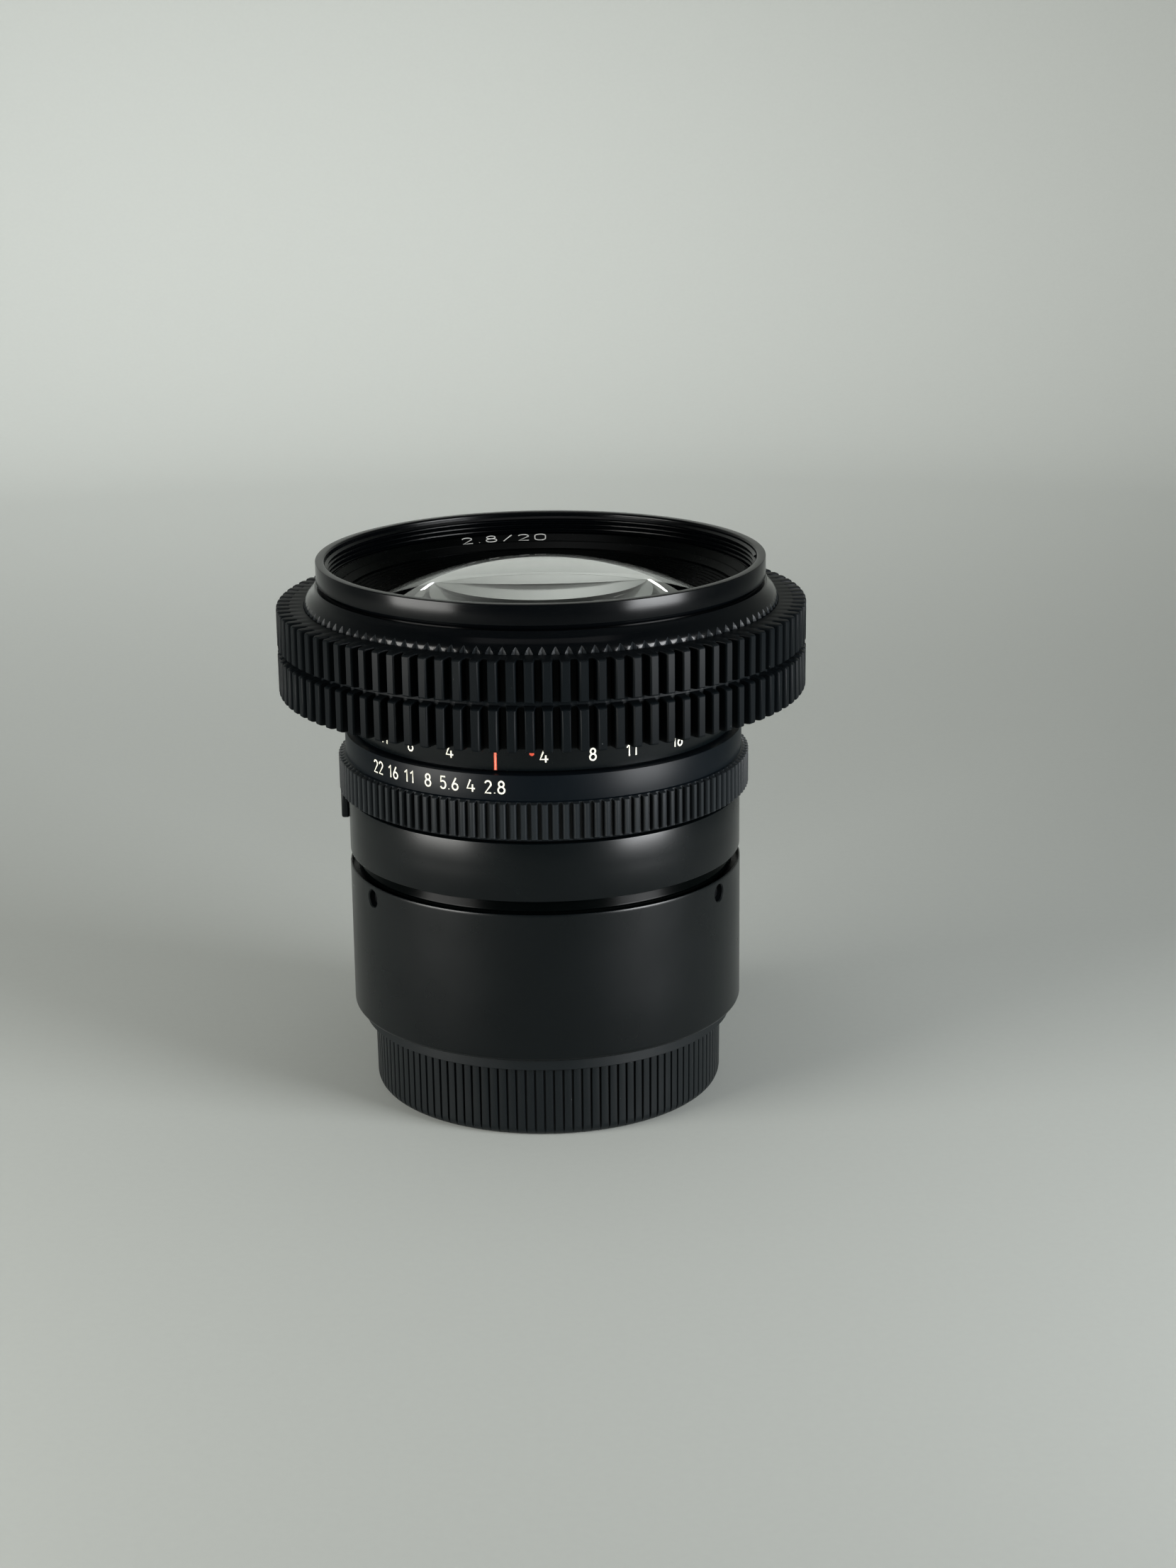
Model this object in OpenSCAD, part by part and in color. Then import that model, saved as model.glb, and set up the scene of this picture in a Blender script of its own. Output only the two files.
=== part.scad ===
// Wide-angle camera lens with a screw mount and a follow-focus gear ring.
// It stands on a mount adapter and the adapter's rear cap.
// Millimetres. +Z is the optical axis, towards the front glass.
// The origin is the centre of the rear cap's foot.

/* [Stack of the barrel] */
// Height of the rear cap, from its foot to the adapter's register face
cap_h = 12; // [11.4:0.1:14]
// Length of the adapter, from its register face to the lens flange
adapter_len = 25.46; // [24:0.02:32]
// Height of the lens flange ring below the rear barrel
flange_h = 2.04; // [1.6:0.02:3]
// Height of the rear barrel
rear_barrel_h = 9.16; // [8.8:0.02:12]
// Height of the aperture ring
aperture_ring_h = 10.3; // [10:0.1:14]
// Height of the scale barrel that shows between aperture ring and gear
scale_h = 7.15; // [6.8:0.05:10]
// Height from the gear's lower face to the underside of the front rim
focus_h = 16.44; // [16:0.02:20]
// Height of the front rim
rim_h = 3.2; // [3:0.05:4.5]

/* [Radii of the barrel] */
// Radius of the adapter's bayonet barrel
bayonet_barrel_r = 22.4; // [20.5:0.1:24.5]
// Step from the cap's lip out to the adapter's body
adapter_step = 1.6; // [1.4:0.02:2.2]
// Radius of the lens's screw mount
mount_thread_r = 20.95; // [19:0.05:22.5]
// Outer radius of the lens barrel that slides in the scale barrel
lens_barrel_r = 26.6; // [24.4:0.1:29]
// Wall of the scale barrel where the aperture ring runs on it
journal_wall = 1.85; // [1.7:0.05:2.4]
// Step from that journal out to the depth-of-field scale
scale_step = 1.5; // [1.3:0.05:2]
// Wall of the aperture ring at its number band
aperture_wall = 2.75; // [2.5:0.05:3.4]
// Height of the aperture ring's knurl above its number band
aperture_grip_h = 1.1; // [0.9:0.05:1.6]
// Wall of the focus ring over the helicoid
focus_wall = 2.17; // [1.9:0.01:3]
// Wall of the follow-focus gear under its teeth
gear_wall = 2.35; // [1.6:0.05:3.4]
// Width of the name ring
name_ring_w = 2.15; // [1.8:0.05:2.8]
// Wall of the front rim outside the filter thread
rim_wall = 1.9; // [1.7:0.05:2.4]

/* [Grips and gear] */
// Number of grip ribs on the rear cap
cap_ribs = 120; // [60:1:140]
// Number of ribs in the aperture ring's knurl
aperture_ribs = 128; // [80:1:150]
// Number of ribs in the focus ring's knurl
focus_ribs = 120; // [80:1:150]
// Number of teeth on the follow-focus gear
gear_teeth = 97; // [80:1:104]
// Depth of the gear's teeth
gear_tooth_depth = 1.9; // [1.4:0.1:2.2]
// Height of the gear ring
gear_h = 12.7; // [11:0.1:13]
// Width of the groove between the gear's two rows of teeth
gear_groove_w = 0.8; // [0.5:0.1:2]
// Depth of the knurls on the two rings
knurl_depth = 0.55; // [0.3:0.05:0.6]

/* [Travel] */
// Axial travel of the lens unit over the whole focusing turn
focus_travel = 3.6; // [2.5:0.1:3.8]
// Turn of the aperture ring over its whole scale, in degrees
aperture_turn = 37; // [30:1:45]
// Turn of each iris blade over the whole aperture scale, in degrees
blade_turn = 26; // [18:1:27]
// Turn of the automatic and manual lever, in degrees
lever_turn = 18; // [8:1:24]
// Travel of the stop-down pin
pin_travel = 2.5; // [1.5:0.1:3]
// Twist that frees the rear cap, in degrees
cap_twist = 55; // [50:1:60]

/* [Glass] */
// Wall of the front cell outside the front glass
front_cell_wall = 2.5; // [2.3:0.05:3.2]
// Curvature radius of the front glass's outer face
front_curve_r = 56; // [54:0.5:62]
// Thickness of the front glass at its centre
front_glass_t = 6.3; // [5.8:0.05:6.8]
// Curvature radius of the front glass's hollow back
front_hollow_r = 110; // [100:1:130]
// How far the second glass's edge lies inside the edge of the front glass
second_glass_inset = 9.7; // [9.3:0.05:10.2]
// Edge radius of the third glass
third_glass_r = 12; // [11.8:0.05:12.2]
// Edge radius of the fourth glass
fourth_glass_r = 10.5; // [10.3:0.05:10.6]
// Edge radius of the rear glasses
rear_glass_r = 9.6; // [9.4:0.05:9.7]

/* [Iris] */
// Number of iris blades' bays in the housing
iris_bays = 6; // [6]
// Opening radius of the iris, wide open
iris_open_r = 7.8; // [7.4:0.1:8]
// Thickness of one iris blade
blade_t = 0.2; // [0.1:0.05:0.2]
// Spacing of the iris blades along the axis
blade_pitch = 0.3; // [0.28:0.01:0.36]
// Radius of the circle of blade pivots
pivot_circle_r = 14.6; // [14.4:0.1:14.8]

/* [Fits and walls] */
// Radial clearance of a running fit
fit = 0.05; // [0.02:0.01:0.08]
// Radial clearance of a fixed seat
seat = 0.03; // [0.02:0.01:0.05]
// Clearance between pieces that move past each other
gap = 0.3; // [0.2:0.05:0.4]
// Wall of the rear barrel
rear_wall = 2; // [1.6:0.1:2.2]
// Wall of the lens barrel
lens_barrel_wall = 0.95; // [0.8:0.05:1.2]
// Floor of the rear cap
cap_floor = 1.6; // [1.2:0.1:2.4]
// Wall of the rear cap under its ribs
cap_wall = 1.5; // [1.2:0.1:1.7]

/* [Hidden] */
$fn = 96;
eps = 0.01;

// Levels along the axis
z_register = cap_h;
bayonet_stand = 1.8;
z_body = z_register + bayonet_stand;
z_flange = z_register + adapter_len;
z_rear = z_flange + flange_h;
z_rear_top = z_rear + rear_barrel_h;
aperture_gap = 0.39;
z_aperture = z_rear_top + aperture_gap;
z_scale = z_aperture + aperture_ring_h;
z_gear = z_scale + scale_h;
z_rim = z_gear + focus_h;
z_top = z_rim + rim_h;
rim_gap = 0.64;
z_focus_top = z_rim - rim_gap;
focus_skirt = 0.4;
z_focus = z_gear + focus_skirt;

// Rear cap
face_gap = 0.1;
cap_top = z_body - face_gap;
cap_seat = z_register - face_gap;
cap_band_h = 1.95;
cap_band_slope = 0.5;
cap_rib_depth = 0.45;
cap_rib_cut = 0.35;
cap_edge_r = 1.7;
cap_draft = 0.1;
cap_lug_h = 1.3;
cap_lug_z = z_register - 2.9;
cap_lug_play = 2.05;
lug_angle = 38;
lug_at = 60;

// Mount adapter
bayonet_wall = 2.2;
bayonet_bore_r = bayonet_barrel_r - bayonet_wall;
bayonet_lug = 1.5;
bayonet_lug_r = bayonet_barrel_r + bayonet_lug;
bayonet_screw_land = 1.5;
bayonet_screw_circle = bayonet_lug_r + bayonet_screw_land;
bayonet_flange_land = 2;
bayonet_flange_r = bayonet_screw_circle + bayonet_flange_land;
bayonet_inset = 1.2;
bayonet_flange_h = bayonet_stand + bayonet_inset;
bayonet_drop = 4.6;
bayonet_lug_h = 1.4;
cap_lip_wall = 1.8;
cap_lip_bore_r = bayonet_flange_r + gap;
cap_lip_r = cap_lip_bore_r + cap_lip_wall;
adapter_r = cap_lip_r + adapter_step;
adapter_edge_r = 0.7;
adapter_wall = 4.1;
thread_ring_h = 6.3;
thread_ring_r = adapter_r - adapter_wall;
thread_ring_ledge = 3.4;
adapter_throat_r = thread_ring_r - thread_ring_ledge;
bayonet_screws_n = 4;
cap_bore_r = bayonet_lug_r + cap_lug_play;
cap_r = cap_bore_r + cap_wall + cap_rib_depth;
set_screw_r = 1.4;
set_screw_sink = 1.2;
set_screw_drop = 2.15;
z_thread_ring = z_flange - thread_ring_h - 0.2;
z_set_screw = z_flange - set_screw_drop;

// Lens flange and rear barrel
barrel_bore_r = lens_barrel_r + fit;
rear_ledge = 2.38;
rear_bore_r = barrel_bore_r + rear_ledge;
rear_barrel_r = rear_bore_r + rear_wall;
flange_inset = 1.43;
flange_r = rear_barrel_r - flange_inset;
flange_bore_r = 13.2;
mount_tube_h = 6.06;
mount_tube_wall = 1.75;
rear_ring_h = 1.7;
rear_ring_bore_r = rear_bore_r - 2.6;
rear_top_flange_h = 1.66;
mount_screw_circle = rear_bore_r - 1.13;
mount_screws_n = 4;
edge_chamfer = 0.35;

// Scale barrel, which is also the helicoid's fixed thread
journal_r = barrel_bore_r + journal_wall;
scale_r = journal_r + scale_step;
flare_play = 0.4;
flare_bore_r = scale_r + flare_play;
flare_wall = 2.6;
flare_r = flare_bore_r + flare_wall;
flare_floor_h = 0.9;
flare_step = 0.2;
z_flare = z_gear - flare_step;
z_flare_floor = z_flare + flare_floor_h;
barrel_screw_circle = (barrel_bore_r + journal_r) / 2;
barrel_screws_n = 3;
barrel_screw_r = 0.55;
barrel_screw_depth = 3.4;
click_groove_w = 1.8;
click_groove_r = journal_r - 0.7;
click_steps = 12;
click_notch_r = 0.4;
z_click = z_scale - 1.95;
key_w = 3;
key_h = 4;
key_r0 = lens_barrel_r - 0.7;
key_r1 = scale_r - 0.8;
z_key = z_flare - 1.3 - key_h;

// Aperture ring
number_band_h = 3.85;
aperture_bore_r = journal_r + fit;
number_band_r = aperture_bore_r + aperture_wall;
aperture_knurl_r = number_band_r + aperture_grip_h;
knurl_foot_h = 0.7;
knurl_lead_h = 0.38;
z_number_band = z_scale - number_band_h;
ball_r = 0.75;
ball_centre_r = click_groove_r + ball_r + fit;
ball_hole_r = ball_r + fit;
ball_hole_end = number_band_r - 0.7;

// Focus ring
lip_h = 1.6;
lip_r = flare_bore_r;
z_lip = z_focus_top - 5.4;
z_lip_top = z_lip + lip_h;
helicoid_bore_r = flare_r + fit;
helicoid_wall = 1.75;
helicoid_r = helicoid_bore_r + helicoid_wall;
focus_bore_r = helicoid_r + seat;
focus_r = focus_bore_r + focus_wall;
cell_play = 0.4;
cell_r = flare_bore_r - cell_play;
name_step = 0.65;
name_bore_r = cell_r + name_step;
name_r = name_bore_r + name_ring_w;
thread_step = 0.3;
filter_thread_r = name_r + thread_step;
rim_r = filter_thread_r + rim_wall;
rim_land = 1.1;
skirt_r = rim_r - rim_land;
skirt_play = 0.4;
skirt_bore_r = skirt_r + skirt_play;
z_helicoid = z_flare + flare_floor_h;
retainer_h = 1.5;
z_retainer = z_lip - gap + 0.1 - retainer_h;
retainer_r = flare_r - 0.4;
z_flare_top = z_retainer - gap;
shoulder_r = focus_r - 0.7;
shoulder_top_r = rim_r + 0.2;
shoulder_h = 1.6;
rib_runout = 0.8;
focus_screws_n = 3;
focus_screw_r = 0.9;

// Gear ring
gear_bore_r = focus_r + fit;
gear_root_r = gear_bore_r + gear_wall;
gear_tip_r = gear_root_r + gear_tooth_depth;
gear_row_h = (gear_h - gear_groove_w) / 2;
gear_groove_depth = 1.2;

// Lens unit: glass and cells
z_cell = z_flare_floor + gap;
front_glass_r = cell_r - front_cell_wall;
front_edge_drop = 1.0873;
web_h = 0.9;
z_web = z_lip_top + gap;
front_edge_z = z_web - front_edge_drop;
z_crown = front_edge_z + front_curve_r - sqrt(pow(front_curve_r, 2) - pow(front_glass_r, 2));
z_front_hollow = z_crown - front_glass_t;
front_land = 1.2;
hollow_mouth_r = front_glass_r - front_land;
z_front_seat = z_front_hollow - front_hollow_r + sqrt(pow(front_hollow_r, 2) - pow(hollow_mouth_r, 2));
cell_waist_r = hollow_mouth_r - 0.3;
cell_waist_h = 1.4;
front_pocket_r = front_glass_r + fit;
baffle_seat_z = front_edge_z + 0.2;
baffle_r = front_pocket_r + 1.45;
cell_top = baffle_seat_z + 1.2;
second_glass_r = front_glass_r - second_glass_inset;
second_pocket_r = second_glass_r + fit;
second_seat_h = 1.2;
second_drop = 1.7;
second_seat_z = z_cell + second_seat_h;
second_ledge_z = second_seat_z + second_drop;
second_ledge_w = 1.2;
second_curve_r = 30;
second_edge_h = 1.949;
second_crown_z = second_seat_z + second_edge_h + second_curve_r
    - sqrt(pow(second_curve_r, 2) - pow(second_glass_r, 2));
second_hollow_r = 16;
second_t = 1.8;
cell_lip_r = 13.5;
spigot_h = 2.9;
spigot_wall = 1.4;
lens_bore_r = lens_barrel_r - lens_barrel_wall;
third_rise = 1.1;
third_t = 5;
third_seat_rise = 0.9;
third_front_curve_r = 24;
third_back_curve_r = 60;
third_crown_z = z_cell + third_rise;
third_back_z = third_crown_z - third_t;
third_seat_z = third_back_z + third_seat_rise;
third_pocket_r = third_glass_r + fit;
fourth_air = 0.4;
fourth_t = 3;
fourth_curve_r = 26;
fourth_crown_z = third_back_z - fourth_air;
fourth_back_z = fourth_crown_z - fourth_t;
fourth_pocket_r = fourth_glass_r + fit;
middle_tube_wall = 1.35;
middle_tube_r = third_pocket_r + middle_tube_wall;
middle_flange_r = lens_bore_r - spigot_wall - 0.25;
middle_flange_h = 1.5;
middle_lip_h = 0.65;
z_middle = fourth_back_z - middle_lip_h - 0.05;
cell_screw_circle = (second_pocket_r + middle_flange_r) / 2;
cell_screws_n = 3;

// Lens unit: rim, name ring and baffle
name_seat_z = z_web + web_h;
name_top = z_rim - 0.34;
baffle_rim_r = name_bore_r - 0.05;
baffle_rim_z = name_seat_z + 0.7;
baffle_lip_r = front_glass_r - 0.55;
thread_lead = 0.6;
rim_chamfer = 0.24;

// Lens unit: iris
iris_top = z_middle - gap;
cover_h = 0.5;
drive_h = 0.9;
drive_gap = 0.2;
iris_floor_h = 0.8;
z_drive = iris_top - cover_h - drive_gap - drive_h;
z_blades = z_drive - drive_gap - iris_bays * blade_pitch;
z_iris = z_blades - iris_floor_h;
iris_r = lens_bore_r - fit;
drive_r = 18.9;
drive_bore_r = 15.6;
drive_pin_arm = 2.5;
drive_pin_r = 0.4;
pivot_pin_r = 0.5;
blade_outer_r = 12.6;
blade_span = 118;
blade_heel = 8;
finger_r0 = 20.6;
finger_r1 = 22.4;
finger_angle = 5;
finger_play = 1.5;
finger_at = 45;
drive_swing = 2 * atan(drive_pin_arm * sin(blade_turn / 2)
    / (pivot_circle_r + drive_pin_arm * cos(blade_turn / 2)));
boss_r = 12;
boss_bore_r = iris_open_r + 0.6;

// Lens unit: rear group
z_rear_cell = z_iris;
rear_pocket_r = rear_glass_r + fit;
rear_cell_wall = 2.75;
rear_cell_r = rear_pocket_r + rear_cell_wall;
rear_flange_r = 19;
rear_flange_h = 1.5;
rear_lip_h = 1.05;
fifth_rim_z = z_rear_cell - rear_lip_h - 0.05;
fifth_dip = 1.8;
fifth_t = 1.3;
fifth_skirt = 2.7;
fifth_curve_r = 25;
fifth_front_z = fifth_rim_z - fifth_dip;
fifth_back_z = fifth_front_z - fifth_t;
fifth_foot_z = fifth_back_z - fifth_skirt;
cement = 0.02;
doublet_curve_r = 18;
sixth_t = 6.2;
sixth_curve_r = 40;
sixth_back_z = fifth_back_z - sixth_t;
seventh_air = 1.1;
seventh_dip = 0.7;
seventh_t = 2.1;
seventh_front_curve_r = 60;
seventh_back_curve_r = 24;
seventh_front_z = sixth_back_z - seventh_air;
seventh_rim_z = seventh_front_z + seventh_dip;
seventh_back_z = seventh_front_z - seventh_t;
eighth_air = 0.5;
eighth_t = 3.3;
eighth_front_curve_r = 50;
eighth_back_curve_r = 30;
eighth_front_z = seventh_back_z - eighth_air;
eighth_back_z = eighth_front_z - eighth_t;
rear_ring_w = 1;
rear_end = 0.5;
z_rear_end = eighth_back_z - rear_end;

// Levers and pins in the rear barrel
lever_z = z_rear + 4.25;
lever_t = 1;
lever_tab_r0 = rear_barrel_r + gap;
lever_tab_r = rear_barrel_r + 1.47;
lever_tab_z0 = lever_z - 0.35;
lever_tab_z1 = z_rear_top - 0.06;
lever_at = 170;
lever_tab_angle = 16;
lever_stalk_angle = 6;
lever_sector_angle = 24;
lever_play = 0.1;
plate_h = 0.8;
z_plate = lever_z + lever_t + 0.35;
plate_bore_r = rear_cell_r + 1.75;
pin_r = 0.9;
pin_circle = 16.4;
pin_at = 250;
pin_tip_z = z_flange - 5.06;
pin_collar_r = 1.8;
pin_collar_h = 0.8;
pin_collar_z = z_rear + 0.1;
pin_top_z = z_plate + plate_h + 0.6;
spring_wire_r = 0.2;
spring_turns = 5;
spring_r = pin_r + spring_wire_r + 0.25;

// Points of an arc in a profile, from angle a0 to a1
function arc(cx, cz, r, a0, a1, n = 6) =
    [for (i = [0:n]) let (a = a0 + (a1 - a0) * i / n) [cx + r * cos(a), cz + r * sin(a)]];

// A piece turned about the axis from its half profile
module turned(profile) {
    rotate_extrude() polygon(profile);
}

// A plain ring between two radii and two levels
module ring(r0, r1, z0, z1) {
    turned([[r0, z0], [r1, z0], [r1, z1], [r0, z1]]);
}

// A sector of a ring, centred on an angle
module sector(r0, r1, z0, z1, angle, at) {
    rotate([0, 0, at - angle / 2])
        rotate_extrude(angle = angle)
            translate([r0, z0]) square([r1 - r0, z1 - z0]);
}

// Copies of a piece set round the axis
module around(count, first = 0) {
    for (i = [0:count - 1]) rotate([0, 0, first + i * 360 / count]) children();
}

// A prism with straight ribs or teeth on its side
module ribbed(tip_r, root_r, count, tip_share, root_share, h) {
    step = 360 / count;
    corners = [
        [root_r, -0.5 + root_share / 2], [tip_r, -tip_share / 2],
        [tip_r, tip_share / 2], [root_r, 0.5 - root_share / 2]
    ];
    linear_extrude(h)
        polygon([for (i = [0:count - 1]) for (c = corners)
            c[0] * [cos((i + c[1]) * step), sin((i + c[1]) * step)]]);
}

// A cylindrical blank with a spherical front face and a spherical back face.
// A positive curve bulges out of the glass, a negative one hollows it, and zero leaves it flat.
module glass(r, z0, z1, front_z, front_r, back_z, back_r) {
    difference() {
        intersection() {
            translate([0, 0, z0]) cylinder(r = r, h = z1 - z0);
            if (front_r > 0) translate([0, 0, front_z - front_r]) sphere(r = front_r, $fn = 180);
            if (back_r > 0) translate([0, 0, back_z + back_r]) sphere(r = back_r, $fn = 180);
        }
        if (front_r < 0) translate([0, 0, front_z - front_r]) sphere(r = -front_r, $fn = 180);
        if (back_r < 0) translate([0, 0, back_z + back_r]) sphere(r = -back_r, $fn = 180);
    }
}

// A cheese-head screw, head down, with a slot
module screw(shank_r, shank_h, head_r, head_h) {
    difference() {
        union() {
            cylinder(r = head_r, h = head_h);
            cylinder(r = shank_r, h = head_h + shank_h);
        }
        translate([-head_r, -shank_r / 4, -eps]) cube([2 * head_r, shank_r / 2, head_h / 2]);
    }
}

// A grub screw along +X with a hexagon socket in its outer end
module grub_screw(r, x0, x1) {
    difference() {
        translate([x0, 0, 0]) rotate([0, 90, 0]) cylinder(r = r, h = x1 - x0);
        translate([x1 - r, 0, 0]) rotate([0, 90, 0]) cylinder(r = r * 0.6, h = r + eps, $fn = 6);
    }
}

// A coil spring of round wire along +Z, as rings of points swept along its helix
module coil(r, wire_r, h, turns) {
    sides = 6;
    steps = turns * 12;
    function at(i, k) = let (a = i * 30, b = k * 360 / sides, rho = r + wire_r * cos(b))
        [rho * cos(a), rho * sin(a), wire_r + (h - 2 * wire_r) * i / steps + wire_r * sin(b)];
    points = [for (i = [0:steps]) for (k = [0:sides - 1]) at(i, k)];
    walls = [for (i = [0:steps - 1]) for (k = [0:sides - 1])
        let (n = (k + 1) % sides) each [
            [i * sides + k, i * sides + n, (i + 1) * sides + n],
            [i * sides + k, (i + 1) * sides + n, (i + 1) * sides + k]
        ]];
    ends = [[for (k = [sides - 1:-1:0]) k], [for (k = [0:sides - 1]) steps * sides + k]];
    polyhedron(points = points, faces = concat(walls, ends));
}

module rear_cap() {
    foot_r = cap_r - cap_draft - cap_edge_r;
    lip_z = cap_top - cap_band_h;
    band_z = lip_z - cap_band_slope;
    color("#23262a") {
        difference() {
            turned(concat(
                [[0, 0]],
                arc(foot_r, cap_edge_r, cap_edge_r, -90, 0),
                [[cap_r, band_z], [cap_lip_r, lip_z], [cap_lip_r, cap_top],
                    [cap_lip_bore_r, cap_top], [cap_lip_bore_r, cap_seat], [cap_bore_r, cap_seat],
                    [cap_bore_r, cap_floor], [0, cap_floor]]
            ));
            around(cap_ribs, 180 / cap_ribs)
                translate([cap_r - cap_rib_depth, -cap_rib_cut / 2, cap_edge_r / 2])
                    cube([2 * cap_rib_depth, cap_rib_cut, band_z - cap_edge_r / 2 - face_gap]);
        }
        for (i = [0:2])
            sector(bayonet_barrel_r + gap, cap_bore_r + gap, cap_lug_z, cap_lug_z + cap_lug_h,
                lug_angle, lug_at + i * 120);
    }
}

module adapter_body() {
    color("#2b2d2e") difference() {
        turned(concat(
            [[bayonet_flange_r + seat, z_body]],
            arc(adapter_r - adapter_edge_r, z_body + adapter_edge_r, adapter_edge_r, -90, 0),
            [[adapter_r, z_flange - edge_chamfer], [adapter_r - edge_chamfer, z_flange],
                [thread_ring_r + seat, z_flange], [thread_ring_r + seat, z_thread_ring],
                [adapter_throat_r, z_thread_ring],
                [adapter_throat_r, z_register + bayonet_flange_h],
                [bayonet_flange_r + seat, z_register + bayonet_flange_h]]
        ));
        around(3, 90) translate([thread_ring_r - 1, 0, z_set_screw])
            rotate([0, 90, 0]) cylinder(r = set_screw_r + fit, h = adapter_r - thread_ring_r + 2);
        around(bayonet_screws_n, 45) translate([bayonet_screw_circle, 0, z_register])
            cylinder(r = 0.8 + seat, h = bayonet_flange_h + 3);
    }
}

module adapter_thread_ring() {
    color("#3a3c3e")
        ring(mount_thread_r + fit, thread_ring_r, z_thread_ring, z_thread_ring + thread_ring_h);
}

module adapter_set_screws() {
    color("#1c1d1e") around(3, 90) translate([0, 0, z_set_screw])
        grub_screw(set_screw_r, thread_ring_r + seat, adapter_r - set_screw_sink);
}

module adapter_bayonet() {
    lug_z = z_register - bayonet_drop;
    color("#a9adb0") difference() {
        union() {
            turned([[bayonet_bore_r, lug_z], [bayonet_barrel_r, lug_z],
                [bayonet_barrel_r, z_register], [bayonet_flange_r, z_register],
                [bayonet_flange_r, z_register + bayonet_flange_h],
                [bayonet_bore_r, z_register + bayonet_flange_h]]);
            for (i = [0:2])
                sector(bayonet_barrel_r - gap, bayonet_lug_r, lug_z + face_gap, lug_z + bayonet_lug_h,
                    lug_angle, lug_at + i * 120);
        }
        around(bayonet_screws_n, 45) translate([bayonet_screw_circle, 0, z_register - eps]) {
            cylinder(r = 1.3 + seat, h = 0.7 + eps);
            cylinder(r = 0.8 + seat, h = bayonet_flange_h + 1);
        }
    }
}

module bayonet_screws() {
    color("#8d9092") around(bayonet_screws_n, 45)
        translate([bayonet_screw_circle, 0, z_register])
            screw(0.8, bayonet_flange_h + 2, 1.3, 0.7);
}

module mount_base() {
    tube_r0 = mount_thread_r - mount_tube_wall;
    color("#1b1c1e") difference() {
        turned([[flange_bore_r, z_flange], [tube_r0, z_flange], [tube_r0, z_flange - mount_tube_h],
            [mount_thread_r, z_flange - mount_tube_h], [mount_thread_r, z_flange],
            [flange_r, z_flange], [flange_r, z_rear], [flange_bore_r, z_rear]]);
        rotate([0, 0, pin_at]) translate([pin_circle, 0, z_flange - eps])
            cylinder(r = pin_r + fit, h = flange_h + 2 * eps);
        around(mount_screws_n, 45) translate([mount_screw_circle, 0, z_flange - eps]) {
            cylinder(r = 1.3 + seat, h = 0.8 + eps);
            cylinder(r = 0.75 + seat, h = flange_h + 2 * eps);
        }
    }
}

module mount_screws() {
    color("#8d9092") around(mount_screws_n, 45)
        translate([mount_screw_circle, 0, z_flange])
            screw(0.75, flange_h + rear_ring_h - 1.2, 1.3, 0.8);
}

module rear_barrel() {
    slot_angle = lever_stalk_angle + lever_turn + 2;
    top_z = z_rear_top - rear_top_flange_h;
    color("#2c2e2f") difference() {
        turned([[rear_ring_bore_r, z_rear], [rear_barrel_r - edge_chamfer, z_rear],
            [rear_barrel_r, z_rear + edge_chamfer],
            [rear_barrel_r, z_rear_top - edge_chamfer],
            [rear_barrel_r - edge_chamfer, z_rear_top],
            [barrel_bore_r, z_rear_top], [barrel_bore_r, top_z], [rear_bore_r, top_z],
            [rear_bore_r, z_rear + rear_ring_h], [rear_ring_bore_r, z_rear + rear_ring_h]]);
        sector(rear_bore_r - 1, rear_barrel_r + 1, lever_z - lever_play, lever_z + lever_t + lever_play,
            slot_angle, lever_at - lever_turn / 2);
        around(mount_screws_n, 45) translate([mount_screw_circle, 0, z_rear - eps])
            cylinder(r = 0.75 + seat, h = rear_ring_h - 0.3);
        around(barrel_screws_n) translate([barrel_screw_circle, 0, top_z - eps]) {
            cylinder(r = 0.8 + seat, h = 0.7 + eps);
            cylinder(r = barrel_screw_r + seat, h = rear_top_flange_h + 2 * eps);
        }
    }
}

module mechanism_plate() {
    color("#b9a46a") difference() {
        ring(plate_bore_r, rear_bore_r - seat, z_plate, z_plate + plate_h);
        rotate([0, 0, pin_at]) translate([pin_circle, 0, z_plate - eps])
            cylinder(r = pin_r + fit, h = plate_h + 2 * eps);
    }
}

module stop_down_pin() {
    color("#b8babc") rotate([0, 0, pin_at]) translate([pin_circle, 0, 0]) {
        translate([0, 0, pin_tip_z]) cylinder(r = pin_r, h = pin_top_z - pin_tip_z);
        translate([0, 0, pin_collar_z]) cylinder(r = pin_collar_r, h = pin_collar_h);
    }
}

module stop_down_spring() {
    z0 = pin_collar_z + pin_collar_h + face_gap;
    color("#9a9c9e") rotate([0, 0, pin_at]) translate([pin_circle, 0, z0])
        coil(spring_r, spring_wire_r, z_plate - face_gap - z0, spring_turns);
}

module auto_manual_lever() {
    bevel = 0.4;
    color("#2a2c2d") {
        rotate([0, 0, lever_at - lever_tab_angle / 2]) rotate_extrude(angle = lever_tab_angle)
            polygon([[lever_tab_r0, lever_tab_z0], [lever_tab_r - bevel, lever_tab_z0],
                [lever_tab_r, lever_tab_z0 + bevel], [lever_tab_r, lever_tab_z1 - bevel],
                [lever_tab_r - bevel, lever_tab_z1], [lever_tab_r0, lever_tab_z1]]);
        sector(rear_bore_r - 1, lever_tab_r0 + 0.2, lever_z, lever_z + lever_t,
            lever_stalk_angle, lever_at);
        sector(rear_bore_r - 2.6, rear_bore_r - gap, lever_z, lever_z + lever_t,
            lever_sector_angle, lever_at);
    }
}

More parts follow.
